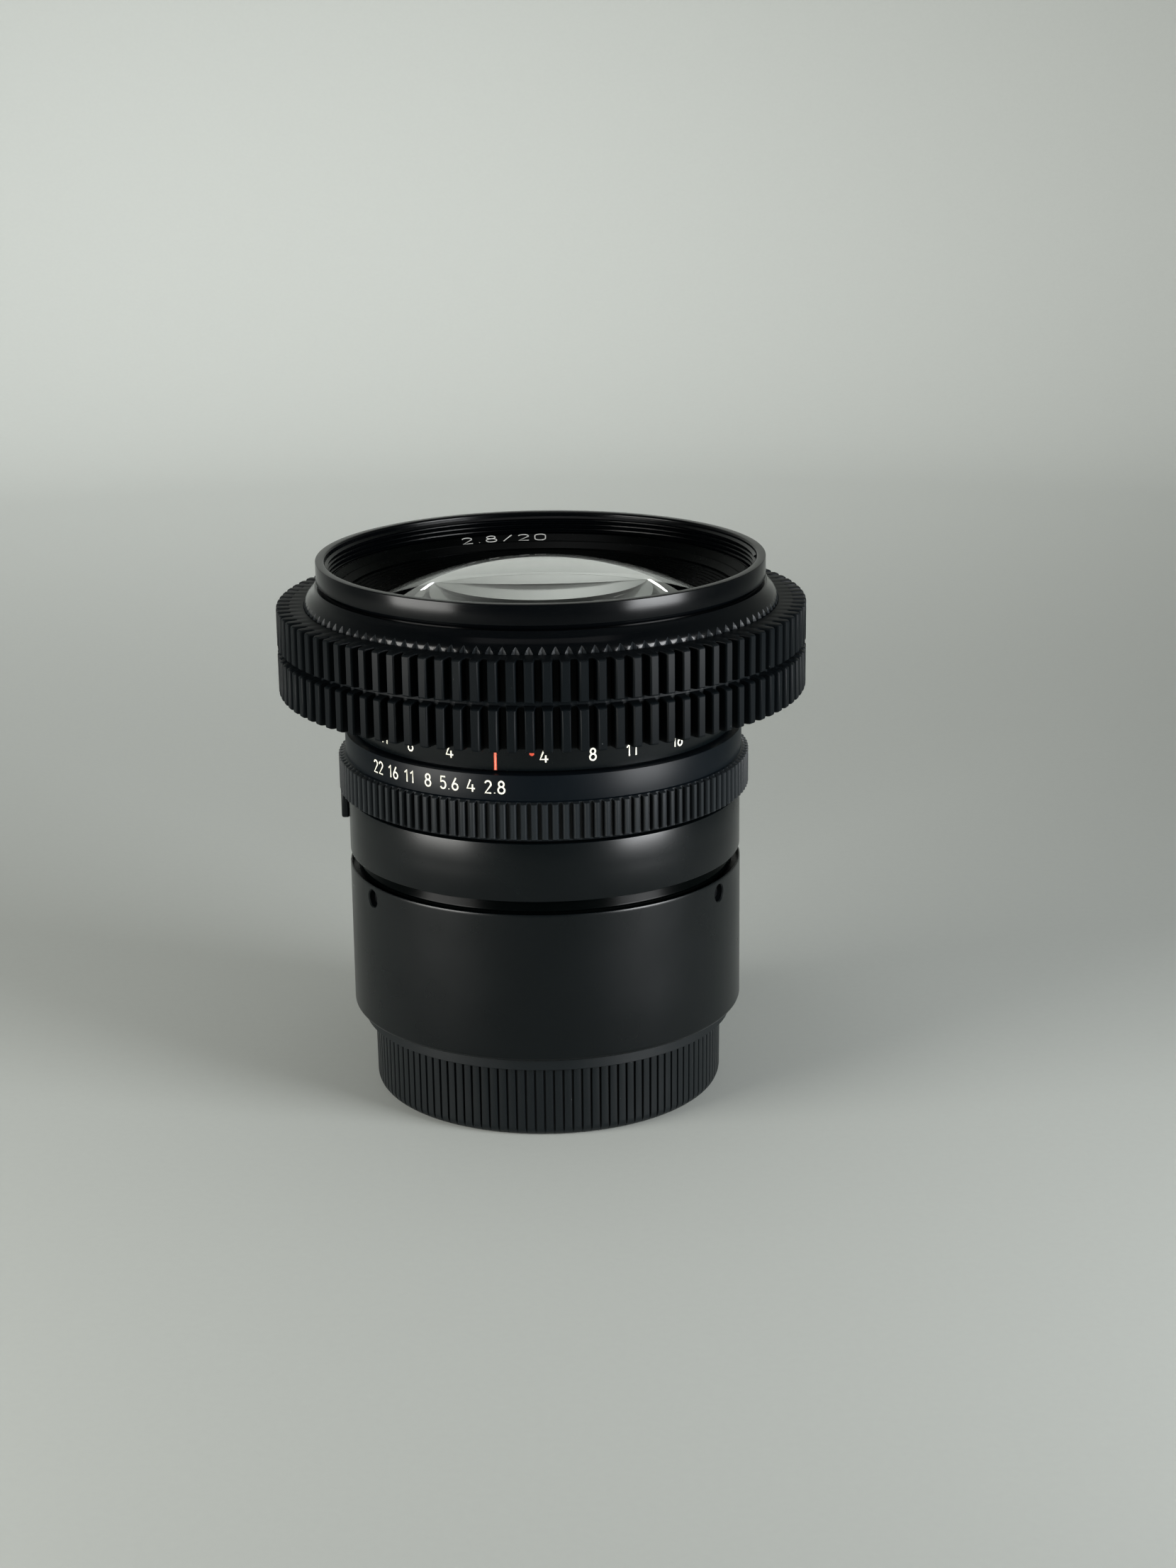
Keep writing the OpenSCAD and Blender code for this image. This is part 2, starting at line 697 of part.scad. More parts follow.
module scale_barrel() {
    color("#1e2022") difference() {
        turned([[barrel_bore_r, z_rear_top], [journal_r, z_rear_top],
            [journal_r, z_click - click_groove_w / 2], [click_groove_r, z_click - click_groove_w / 2],
            [click_groove_r, z_click + click_groove_w / 2], [journal_r, z_click + click_groove_w / 2],
            [journal_r, z_scale + gap], [scale_r, z_scale + gap], [scale_r, z_flare],
            [flare_r, z_flare], [flare_r, z_flare_top], [flare_bore_r, z_flare_top],
            [flare_bore_r, z_flare_floor], [barrel_bore_r, z_flare_floor]]);
        for (i = [0:click_steps]) rotate([0, 0, 90 + i * aperture_turn / click_steps])
            translate([click_groove_r, 0, z_click - click_groove_w / 2])
                cylinder(r = click_notch_r, h = click_groove_w);
        around(2) translate([key_r0, -key_w / 2 - seat, z_key - seat])
            cube([key_r1 - key_r0 + seat, key_w + 2 * seat, key_h + 2 * seat]);
        around(barrel_screws_n) translate([barrel_screw_circle, 0, z_rear_top - eps])
            cylinder(r = barrel_screw_r + seat, h = barrel_screw_depth);
    }
}

module barrel_screws() {
    color("#8d9092") around(barrel_screws_n)
        translate([barrel_screw_circle, 0, z_rear_top - rear_top_flange_h])
            screw(barrel_screw_r, rear_top_flange_h + barrel_screw_depth - 1, 0.8, 0.7);
}

module guide_keys() {
    color("#b9a46a") around(2) translate([key_r0, -key_w / 2, z_key])
        cube([key_r1 - key_r0, key_w, key_h]);
}

module aperture_ring() {
    base_r = number_band_r - 0.3;
    lead_r = number_band_r - 0.4;
    low_z = z_aperture + knurl_foot_h;
    high_z = z_number_band - knurl_lead_h;
    land = 0.15;
    color("#2a2c2e") difference() {
        union() {
            intersection() {
                translate([0, 0, z_aperture])
                    ribbed(aperture_knurl_r, aperture_knurl_r - knurl_depth, aperture_ribs, 0.42, 0.34,
                        z_number_band - z_aperture);
                turned([[0, z_aperture], [base_r, z_aperture], [aperture_knurl_r + eps, low_z],
                    [aperture_knurl_r + eps, high_z], [lead_r, z_number_band], [0, z_number_band]]);
            }
            turned([[journal_r, high_z], [number_band_r, high_z], [number_band_r, z_scale - land],
                [number_band_r - land, z_scale], [journal_r, z_scale]]);
        }
        translate([0, 0, z_aperture - eps])
            cylinder(r = aperture_bore_r, h = aperture_ring_h + 2 * eps);
        rotate([0, 0, 90]) translate([journal_r - 1, 0, z_click])
            rotate([0, 90, 0]) cylinder(r = ball_hole_r, h = ball_hole_end - journal_r + 1);
    }
}

module click_ball() {
    color("#c4c6c8") rotate([0, 0, 90]) translate([ball_centre_r, 0, z_click]) sphere(r = ball_r);
}

module click_spring() {
    start = ball_centre_r + ball_r + seat;
    color("#9a9c9e") rotate([0, 0, 90]) translate([start, 0, z_click]) rotate([0, 90, 0])
        coil(0.5, 0.12, ball_hole_end - seat - start, 3);
}

module focus_ring() {
    shoulder_z = z_focus_top - shoulder_h;
    color("#222426") difference() {
        intersection() {
            translate([0, 0, z_focus])
                ribbed(focus_r, focus_r - knurl_depth, focus_ribs, 0.5, 0.15, z_focus_top - z_focus);
            turned([[0, z_focus], [focus_r + eps, z_focus], [focus_r + eps, shoulder_z - rib_runout],
                [shoulder_r, shoulder_z], [shoulder_top_r, z_focus_top], [0, z_focus_top]]);
        }
        translate([0, 0, z_focus - eps]) cylinder(r = focus_bore_r, h = z_lip - z_focus + eps);
        translate([0, 0, z_lip - eps]) cylinder(r = lip_r, h = lip_h + 2 * eps);
        translate([0, 0, z_lip_top]) cylinder(r = skirt_bore_r, h = z_focus_top - z_lip_top + eps);
        around(focus_screws_n, 30) translate([focus_bore_r - 1, 0, (z_helicoid + z_lip) / 2])
            rotate([0, 90, 0]) cylinder(r = focus_screw_r + seat, h = focus_r);
    }
}

module helicoid_ring() {
    color("#b9a46a") difference() {
        ring(helicoid_bore_r, helicoid_r, z_helicoid, z_lip);
        around(focus_screws_n, 30) translate([helicoid_r - 1, 0, (z_helicoid + z_lip) / 2])
            rotate([0, 90, 0]) cylinder(r = focus_screw_r + seat, h = 2);
    }
}

module focus_set_screws() {
    color("#1c1d1e") around(focus_screws_n, 30) translate([0, 0, (z_helicoid + z_lip) / 2])
        grub_screw(focus_screw_r, helicoid_r - 0.9, focus_r - knurl_depth - 0.2);
}

module focus_gear_ring() {
    core_r = gear_tip_r - gear_groove_depth;
    color("#17191b") difference() {
        union() {
            for (z = [z_gear, z_gear + gear_row_h + gear_groove_w]) translate([0, 0, z])
                ribbed(gear_tip_r, gear_root_r, gear_teeth, 0.37, 0.4, gear_row_h);
            translate([0, 0, z_gear + gear_row_h - eps]) intersection() {
                ribbed(gear_tip_r, gear_root_r, gear_teeth, 0.37, 0.4, gear_groove_w + 2 * eps);
                cylinder(r = core_r, h = gear_groove_w + 2 * eps);
            }
        }
        translate([0, 0, z_gear - eps]) cylinder(r = gear_bore_r, h = gear_h + 2 * eps);
    }
}

module lens_barrel() {
    slot_w = key_w + 2 * lever_play;
    color("#3b3d3f") difference() {
        ring(lens_bore_r, lens_barrel_r, z_aperture + gap, z_cell);
        around(2) translate([lens_bore_r - 1, -slot_w / 2, z_key - focus_travel - gap])
            cube([lens_barrel_wall + 2, slot_w, key_h + focus_travel + 2 * gap]);
    }
}

module focus_retainer() {
    color("#b9a46a") ring(cell_r + seat, retainer_r, z_retainer, z_retainer + retainer_h);
}

module front_cell() {
    spigot_r = lens_bore_r - seat;
    color("#2e3032") difference() {
        turned([[cell_lip_r, z_cell], [spigot_r - spigot_wall, z_cell],
            [spigot_r - spigot_wall, z_cell - spigot_h], [spigot_r, z_cell - spigot_h],
            [spigot_r, z_cell], [cell_r, z_cell], [cell_r, cell_top], [baffle_r + seat, cell_top],
            [baffle_r + seat, baffle_seat_z], [front_pocket_r, baffle_seat_z],
            [front_pocket_r, z_front_seat], [cell_waist_r, z_front_seat],
            [cell_waist_r, z_front_seat - cell_waist_h],
            [second_pocket_r + second_ledge_w, second_ledge_z], [second_pocket_r, second_ledge_z],
            [second_pocket_r, second_seat_z], [cell_lip_r, second_seat_z]]);
        around(cell_screws_n) translate([cell_screw_circle, 0, z_cell - eps])
            cylinder(r = 0.8 + seat, h = 2);
    }
}

module filter_ring() {
    lead_r = filter_thread_r + thread_lead;
    color("#1a1c1e") turned([[cell_r + seat, z_web], [skirt_r, z_web], [skirt_r, z_rim],
        [rim_r, z_rim], [rim_r, z_top - rim_chamfer], [rim_r - rim_chamfer, z_top],
        [lead_r, z_top], [filter_thread_r, z_top - thread_lead], [filter_thread_r, name_top],
        [name_r + fit, name_top], [name_r + fit, name_seat_z], [cell_r + seat, name_seat_z]]);
}

module name_ring() {
    land = 0.25;
    color("#141517") turned([[name_bore_r, name_seat_z], [name_r, name_seat_z], [name_r, name_top],
        [name_r - land, name_top], [name_bore_r, baffle_rim_z + land]]);
}

module front_baffle() {
    lip_z = front_glass_edge(baffle_lip_r) + 0.1;
    color("#141517") turned([[baffle_lip_r, lip_z], [baffle_lip_r + 0.4, baffle_seat_z],
        [baffle_r, baffle_seat_z], [baffle_r, cell_top + face_gap / 2],
        [cell_r, cell_top + face_gap / 2], [cell_r, name_seat_z + face_gap / 2],
        [baffle_rim_r, name_seat_z + face_gap / 2], [baffle_rim_r, baffle_rim_z],
        [baffle_lip_r, lip_z + 0.15]]);
}

// Level of the front glass's outer face at a radius
function front_glass_edge(r) = z_crown - front_curve_r + sqrt(pow(front_curve_r, 2) - pow(r, 2));

module front_element() {
    color("#8fa3a8", 0.5)
        glass(front_glass_r, z_front_seat, z_crown + 1, z_crown, front_curve_r,
            z_front_hollow, -front_hollow_r);
}

module second_element() {
    color("#8fa3a8", 0.5)
        glass(second_glass_r, second_seat_z, second_crown_z + 1, second_crown_z, second_curve_r,
            second_crown_z - second_t, -second_hollow_r);
}

module middle_cell() {
    color("#2e3032") difference() {
        turned([[fourth_glass_r - 0.9, z_middle], [middle_tube_r, z_middle],
            [middle_tube_r, z_cell - middle_flange_h], [middle_flange_r, z_cell - middle_flange_h],
            [middle_flange_r, z_cell], [third_pocket_r, z_cell], [third_pocket_r, third_seat_z],
            [fourth_pocket_r, third_seat_z], [fourth_pocket_r, z_middle + middle_lip_h],
            [fourth_glass_r - 0.9, z_middle + middle_lip_h]]);
        around(cell_screws_n) translate([cell_screw_circle, 0, z_cell - middle_flange_h - eps])
            cylinder(r = 0.8 + seat, h = middle_flange_h + 2 * eps);
    }
}

module cell_screws() {
    head_h = 0.7;
    color("#8d9092") around(cell_screws_n)
        translate([cell_screw_circle, 0, z_cell - middle_flange_h - head_h])
            screw(0.8, middle_flange_h + 1.8, 1.4, head_h);
}

module third_element() {
    color("#8fa3a8", 0.5)
        glass(third_glass_r, third_back_z - 1, third_crown_z + 1, third_crown_z,
            third_front_curve_r, third_back_z, third_back_curve_r);
}

module middle_retainer() {
    foot_z = third_crown_z - 2.55;
    color("#2e3032") ring(third_glass_r - 1.1, third_glass_r, foot_z, foot_z + 1.1);
}

module fourth_element() {
    color("#8fa3a8", 0.5)
        glass(fourth_glass_r, fourth_back_z, fourth_crown_z + 1, fourth_crown_z,
            fourth_curve_r, fourth_back_z, 0);
}

module iris_housing() {
    sweep = finger_angle + drive_swing + 2 * finger_play;
    color("#343638") difference() {
        turned([[boss_r + seat, z_iris], [iris_r, z_iris], [iris_r, iris_top - cover_h],
            [drive_r + fit, iris_top - cover_h], [drive_r + fit, z_blades], [boss_r + seat, z_blades]]);
        sector(drive_r - 0.5, finger_r1 + gap, z_drive - drive_gap, iris_top, sweep,
            finger_at + drive_swing / 2);
        sector(finger_r0 - gap, finger_r1 + gap, z_iris - 1, iris_top, sweep,
            finger_at + drive_swing / 2);
        around(iris_bays) translate([pivot_circle_r, 0, z_iris - eps])
            cylinder(r = pivot_pin_r + fit, h = iris_floor_h + 2 * eps);
    }
}

module iris_drive_ring() {
    slot_w = 2 * (drive_pin_r + fit);
    slot_r = pivot_circle_r + drive_pin_arm;
    color("#b9a46a") {
        difference() {
            ring(drive_bore_r, drive_r, z_drive, z_drive + drive_h);
            around(iris_bays, -drive_swing / 2)
                translate([slot_r - 0.8, -slot_w / 2, z_drive - eps])
                    cube([1.5, slot_w, drive_h + 2 * eps]);
        }
        sector(drive_r - 0.2, finger_r1, z_drive, z_drive + drive_h, finger_angle, finger_at);
        sector(finger_r0, finger_r1, z_plate + plate_h + 1, z_drive + drive_h, finger_angle, finger_at);
    }
}

module iris_cover() {
    color("#343638") ring(drive_bore_r + 0.4, iris_r, iris_top - cover_h, iris_top);
}

// One blade: a crescent, an ear with the pivot pin, and a drive pin outside the pivot
module iris_blade(bay) {
    z = z_blades + (blade_pitch - blade_t) / 2 + (bay - 1) * blade_pitch;
    ear_r = 1.3;
    color("#26282a") rotate([0, 0, (bay - 1) * 360 / iris_bays]) {
        translate([0, 0, z]) linear_extrude(blade_t) {
            intersection() {
                difference() {
                    circle(r = blade_outer_r);
                    circle(r = iris_open_r);
                }
                polygon(concat([[0, 0]], [for (i = [0:6])
                    let (a = -blade_heel + (blade_span + blade_heel) * i / 6)
                        2 * blade_outer_r * [cos(a), sin(a)]]));
            }
            translate([blade_outer_r - 1, -ear_r]) square([pivot_circle_r - blade_outer_r + 1, 2 * ear_r]);
            translate([pivot_circle_r, 0]) {
                circle(r = ear_r);
                rotate(-blade_turn / 2) {
                    translate([0, -0.7]) square([drive_pin_arm, 1.4]);
                    translate([drive_pin_arm, 0]) circle(r = 0.7);
                }
            }
        }
        translate([pivot_circle_r, 0, 0]) {
            translate([0, 0, z_iris + 0.1]) cylinder(r = pivot_pin_r, h = z - z_iris);
            rotate([0, 0, -blade_turn / 2]) translate([drive_pin_arm, 0, z])
                cylinder(r = drive_pin_r, h = z_drive + drive_h - z - 0.1);
        }
    }
}

module rear_cell() {
    boss_top = z_blades - face_gap;
    lip_r = rear_glass_r - 0.7;
    color("#2e3032") turned([[rear_pocket_r, z_rear_end], [rear_cell_r, z_rear_end],
        [rear_cell_r, z_rear_cell - rear_flange_h], [rear_flange_r, z_rear_cell - rear_flange_h],
        [rear_flange_r, z_rear_cell], [boss_r, z_rear_cell], [boss_r, boss_top],
        [boss_bore_r, boss_top], [lip_r, z_rear_cell - rear_lip_h],
        [rear_pocket_r, z_rear_cell - rear_lip_h]]);
}

module fifth_element() {
    color("#8fa3a8", 0.5)
        glass(rear_glass_r, fifth_foot_z, fifth_rim_z, fifth_front_z, -fifth_curve_r,
            fifth_back_z, -doublet_curve_r);
}

module sixth_element() {
    color("#8fa3a8", 0.5)
        glass(rear_glass_r, sixth_back_z - 1, fifth_back_z, fifth_back_z - cement,
            doublet_curve_r - cement, sixth_back_z, sixth_curve_r);
}

// A spacer ring between two rear glasses
module rear_spacer(z0, z1) {
    color("#2e3032") ring(rear_glass_r - rear_ring_w, rear_glass_r, z0, z1);
}

module rear_spacer_upper() {
    rear_spacer(seventh_rim_z + 0.05, sixth_back_z + 0.9);
}

module seventh_element() {
    color("#8fa3a8", 0.5)
        glass(rear_glass_r, seventh_back_z - 1, seventh_rim_z, seventh_front_z,
            -seventh_front_curve_r, seventh_back_z, seventh_back_curve_r);
}

module rear_spacer_lower() {
    rear_spacer(eighth_front_z - 0.65, seventh_back_z + 1.5);
}

module eighth_element() {
    color("#8fa3a8", 0.5)
        glass(rear_glass_r, eighth_back_z - 1, eighth_front_z + 1, eighth_front_z,
            eighth_front_curve_r, eighth_back_z, eighth_back_curve_r);
}

module rear_retainer() {
    color("#2e3032") ring(rear_glass_r - 1.2, rear_glass_r, z_rear_end + 0.3, eighth_back_z + 1.1);
}

rear_cap();
adapter_body();
adapter_thread_ring();
adapter_set_screws();
adapter_bayonet();
bayonet_screws();
mount_base();
mount_screws();
rear_barrel();
mechanism_plate();
stop_down_pin();
stop_down_spring();
auto_manual_lever();
scale_barrel();
barrel_screws();
guide_keys();
aperture_ring();
click_ball();
click_spring();
focus_ring();
helicoid_ring();
focus_set_screws();
focus_gear_ring();
lens_barrel();
focus_retainer();
front_cell();
filter_ring();
name_ring();
front_baffle();
front_element();
second_element();
middle_cell();
cell_screws();
third_element();
middle_retainer();
fourth_element();
iris_housing();
iris_drive_ring();
iris_cover();
iris_blade(1);  // iris_blade_1
iris_blade(2);  // iris_blade_2
iris_blade(3);  // iris_blade_3
iris_blade(4);  // iris_blade_4
iris_blade(5);  // iris_blade_5
iris_blade(6);  // iris_blade_6
rear_cell();
fifth_element();
sixth_element();
rear_spacer_upper();
seventh_element();
rear_spacer_lower();
eighth_element();
rear_retainer();
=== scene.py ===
import bpy
import bmesh
import math
from mathutils import Matrix, Vector


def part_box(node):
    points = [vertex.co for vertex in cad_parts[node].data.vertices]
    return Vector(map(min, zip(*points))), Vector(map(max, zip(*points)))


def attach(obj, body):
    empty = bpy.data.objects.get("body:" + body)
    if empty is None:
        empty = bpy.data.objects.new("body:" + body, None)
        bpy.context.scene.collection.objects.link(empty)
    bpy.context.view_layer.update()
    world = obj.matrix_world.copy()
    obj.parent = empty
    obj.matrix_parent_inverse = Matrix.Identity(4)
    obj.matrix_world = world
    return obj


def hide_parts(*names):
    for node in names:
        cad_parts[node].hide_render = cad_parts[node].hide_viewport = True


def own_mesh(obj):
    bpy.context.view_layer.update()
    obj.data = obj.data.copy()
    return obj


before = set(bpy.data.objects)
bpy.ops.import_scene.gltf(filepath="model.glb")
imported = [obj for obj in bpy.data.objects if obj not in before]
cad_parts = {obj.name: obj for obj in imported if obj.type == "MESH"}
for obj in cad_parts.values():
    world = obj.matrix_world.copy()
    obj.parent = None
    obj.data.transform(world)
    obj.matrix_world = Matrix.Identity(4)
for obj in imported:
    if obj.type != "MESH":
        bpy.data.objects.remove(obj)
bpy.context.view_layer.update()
mm = 0.001
weldGap = 1e-6  # metres: points closer than this become one
print("frame loaded:", len(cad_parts), "nodes")


def hexColour(code, share=1.0):
    parts = [int(code[i:i + 2], 16) / 255 for i in (1, 3, 5)]
    linear = [c / 12.92 if c <= 0.04045 else ((c + 0.055) / 1.055) ** 2.4 for c in parts]
    return tuple(c * share for c in linear) + (1.0,)


def addNode(tree, kind, settings=None, links=None):
    node = tree.nodes.new(kind)
    for key, value in (settings or {}).items():
        if isinstance(key, str) and hasattr(node, key):
            setattr(node, key, value)
        else:
            node.inputs[key].default_value = value
    for key, source in (links or {}).items():
        tree.links.new(source, node.inputs[key])
    return node


def newMaterial(name):
    mat = bpy.data.materials.new(name)
    mat.use_nodes = True
    tree = mat.node_tree
    return mat, tree, tree.nodes["Principled BSDF"], addNode(tree, "ShaderNodeTexCoord").outputs["Object"]


# a profile is written as pairs of names from the piece's dictionary, radius then level
def profileOf(piece, corners):
    return [tuple(piece[key] for key in corner.split()) for corner in corners.split(", ")]


def arcPoints(cx, cy, rx, ry, a0, a1, n=10):
    turns = [math.radians(a0 + (a1 - a0) * i / n) for i in range(n + 1)]
    return [(cx + rx * math.cos(t), cy + ry * math.sin(t)) for t in turns]


def polarOf(point):
    return math.degrees(math.atan2(point.y, point.x)) % 360


def outwardsAt(polar):
    return Vector((math.cos(math.radians(polar)), math.sin(math.radians(polar)), 0))


def facingOut(polar, level, out=0.0):
    return Matrix.Rotation(math.radians(polar), 4, "Z") @ Matrix.Translation((out * mm, 0, level * mm)) \
        @ Matrix.Rotation(math.radians(90), 4, "Y")


def turnProfile(bm, points, steps=128, softCorner=0.0, keepSharp=(), closed=True):
    corners = [bm.verts.new((r * mm, 0, z * mm)) for r, z in points]
    ends = corners[1:] + (corners[:1] if closed else [])
    wire = [bm.edges.new(pair) for pair in zip(corners, ends)]
    if softCorner:
        soft = [v for i, v in enumerate(corners) if i not in keepSharp]
        bmesh.ops.bevel(bm, geom=soft, offset=softCorner * mm, offset_type="OFFSET", segments=3, profile=0.5,
                        affect="VERTICES", material=-1)
        wire = [e for e in bm.edges if not e.link_faces]
    ring = list({v for e in wire for v in e.verts})
    bmesh.ops.spin(bm, geom=ring + wire, cent=(0, 0, 0), axis=(0, 0, 1), angle=2 * math.pi, steps=steps,
                   use_merge=True)
    bmesh.ops.remove_doubles(bm, verts=bm.verts[:], dist=weldGap)
    bmesh.ops.recalc_face_normals(bm, faces=bm.faces[:])


def growEdges(bm, edges):
    grown = bmesh.ops.extrude_edge_only(bm, edges=edges)["geom"]
    born = [v for v in grown if isinstance(v, bmesh.types.BMVert)]
    return born, [e for e in grown if isinstance(e, bmesh.types.BMEdge) and set(e.verts) <= set(born)]


# half a pitch of ribs is mirrored about its crown
def mirrored(half, crown=()):
    return [(-share, r) for share, r in reversed(half)] + list(crown) + half


def levelsOf(how, points):
    return [(z, how, r) for r, z in points]


# one pitch of ribs is extruded level by level round its closed section, then repeated round the axis
# a level is (z, how, value, close): "at" sets the radius, "cut" trims it, "inset" pulls every point in,
# and close draws the points inside the pitch together, so a groove runs out in a point
def ribbedRing(bm, pitchShape, count, levels):
    pitch = 2 * math.pi / count

    def radiusAt(r, how, value):
        return {"at": value, "cut": min(r, value), "inset": r - value}[how]

    def place(verts, z, how, value, close=0.0):
        for v, (share, r) in zip(verts, pitchShape):
            turn = pitch * (share if abs(share) == 0.5 else share * (1 - close))
            new = radiusAt(r, how, value) * mm
            v.co = (new * math.cos(turn), new * math.sin(turn), z * mm)

    row = [bm.verts.new((r * mm, i * mm, 0)) for i, (share, r) in enumerate(pitchShape)]
    edges = [bm.edges.new(pair) for pair in zip(row, row[1:])]
    place(row, *levels[0])
    for level in levels[1:] + levels[:1]:
        born, edges = growEdges(bm, edges)
        row = [next(e.other_vert(v) for e in v.link_edges if e.other_vert(v) in born) for v in row]
        place(row, *level)
    bmesh.ops.remove_doubles(bm, verts=bm.verts[:], dist=weldGap / 10)
    bmesh.ops.spin(bm, geom=bm.verts[:] + bm.edges[:] + bm.faces[:], cent=(0, 0, 0), axis=(0, 0, 1),
                   angle=2 * math.pi * (count - 1) / count, steps=count - 1, use_duplicate=True)
    bmesh.ops.remove_doubles(bm, verts=bm.verts[:], dist=2 * weldGap)
    bmesh.ops.recalc_face_normals(bm, faces=bm.faces[:])


def sweepBlock(bm, inner, outer, low, high, at, wide, steps):
    corners = [(inner, low), (outer, low), (outer, high), (inner, high)]
    verts = [bm.verts.new((r * mm, 0, z * mm)) for r, z in corners]
    face = bm.faces.new(verts)
    bmesh.ops.rotate(bm, verts=verts, cent=(0, 0, 0), matrix=Matrix.Rotation(math.radians(at - wide / 2), 3, "Z"))
    bmesh.ops.spin(bm, geom=[face], cent=(0, 0, 0), axis=(0, 0, 1), angle=math.radians(wide), steps=steps)


def finishPiece(name, bm, body, materials, nodes=(), sharpAngle=32):
    bmesh.ops.recalc_face_normals(bm, faces=bm.faces[:])
    mesh = bpy.data.meshes.new(name)
    bm.to_mesh(mesh)
    bm.free()
    for mat in materials:
        mesh.materials.append(mat)
    mesh.shade_smooth()
    mesh.set_sharp_from_angle(angle=math.radians(sharpAngle))
    obj = bpy.data.objects.new(name, mesh)
    bpy.context.scene.collection.objects.link(obj)
    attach(obj, body)
    if nodes:
        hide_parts(*nodes)
    return obj


# satin black anodised aluminium, bead blasted then dyed: a soft broad sheen over a fine even grit
def anodisedBlack(name, colour, rough, specular):
    grit, cloudSize = 0.12 * mm, 9 * mm
    mat, tree, shader, coords = newMaterial(name)
    fine = addNode(tree, "ShaderNodeTexNoise", {"Scale": 1 / grit, "Detail": 2.0}, {"Vector": coords})
    cloud = addNode(tree, "ShaderNodeTexNoise", {"Scale": 1 / cloudSize, "Detail": 3.0}, {"Vector": coords})
    tone = addNode(tree, "ShaderNodeValToRGB", links={"Fac": cloud.outputs["Fac"]})
    tone.color_ramp.elements[0].color = hexColour(colour)
    tone.color_ramp.elements[1].color = hexColour(colour, 1.35)
    sheen = addNode(tree, "ShaderNodeMapRange", {"To Min": rough - 0.04, "To Max": rough + 0.05},
                    {"Value": cloud.outputs["Fac"]})
    dent = addNode(tree, "ShaderNodeBump", {"Strength": 0.12, "Distance": 0.02 * mm}, {"Height": fine.outputs["Fac"]})
    shader.inputs["Specular IOR Level"].default_value = specular
    tree.links.new(tone.outputs["Color"], shader.inputs["Base Color"])
    tree.links.new(sheen.outputs["Result"], shader.inputs["Roughness"])
    tree.links.new(dent.outputs["Normal"], shader.inputs["Normal"])
    return mat


# black lacquer on turned brass and aluminium: glossy, with faint turning lines round the axis
def turnedLacquer(name, colour, rough, specular):
    lineGap, smearSize = 0.09 * mm, 6 * mm
    mat, tree, shader, coords = newMaterial(name)
    split = addNode(tree, "ShaderNodeSeparateXYZ", links={"Vector": coords})
    lines = addNode(tree, "ShaderNodeTexNoise", {"noise_dimensions": "1D", "Scale": 1 / lineGap, "Detail": 2.0},
                    {"W": split.outputs["Z"]})
    smear = addNode(tree, "ShaderNodeTexNoise", {"Scale": 1 / smearSize, "Detail": 4.0}, {"Vector": coords})
    gloss = addNode(tree, "ShaderNodeMapRange", {"To Min": rough - 0.05, "To Max": rough + 0.08},
                    {"Value": smear.outputs["Fac"]})
    groove = addNode(tree, "ShaderNodeBump", {"Strength": 0.12, "Distance": 0.01 * mm},
                     {"Height": lines.outputs["Fac"]})
    shader.inputs["Base Color"].default_value = hexColour(colour)
    shader.inputs["Specular IOR Level"].default_value = specular
    tree.links.new(gloss.outputs["Result"], shader.inputs["Roughness"])
    tree.links.new(groove.outputs["Normal"], shader.inputs["Normal"])
    return mat


# moulded black polymer: dull, with a faint moulding grain and a few grey dust specks
def mouldedPolymer(name, colour, rough, specular, dust):
    grain, speckGap, patchSize = 0.25 * mm, 2.2 * mm, 7 * mm
    mat, tree, shader, coords = newMaterial(name)
    fine = addNode(tree, "ShaderNodeTexNoise", {"Scale": 1 / grain, "Detail": 3.0}, {"Vector": coords})
    specks = addNode(tree, "ShaderNodeTexVoronoi", {"Scale": 1 / speckGap}, {"Vector": coords})
    mask = addNode(tree, "ShaderNodeMapRange", {"From Min": 0.0, "From Max": 0.045, "To Min": dust, "To Max": 0.0},
                   {"Value": specks.outputs["Distance"]})
    patch = addNode(tree, "ShaderNodeTexNoise", {"Scale": 1 / patchSize}, {"Vector": coords})
    thin = addNode(tree, "ShaderNodeMapRange", {"From Min": 0.5, "From Max": 0.62}, {"Value": patch.outputs["Fac"]})
    amount = addNode(tree, "ShaderNodeMath", {"operation": "MULTIPLY"},
                     {0: mask.outputs["Result"], 1: thin.outputs["Result"]})
    tone = addNode(tree, "ShaderNodeMix", {"data_type": "RGBA"}, {"Factor": amount.outputs["Value"]})
    tone.inputs["A"].default_value = hexColour(colour)
    tone.inputs["B"].default_value = hexColour("#6a6d6c")
    rub = addNode(tree, "ShaderNodeMapRange", {"To Min": rough - 0.06, "To Max": rough + 0.08},
                  {"Value": patch.outputs["Fac"]})
    dent = addNode(tree, "ShaderNodeBump", {"Strength": 0.15, "Distance": 0.02 * mm}, {"Height": fine.outputs["Fac"]})
    shader.inputs["Specular IOR Level"].default_value = specular
    tree.links.new(tone.outputs["Result"], shader.inputs["Base Color"])
    tree.links.new(rub.outputs["Result"], shader.inputs["Roughness"])
    tree.links.new(dent.outputs["Normal"], shader.inputs["Normal"])
    return mat


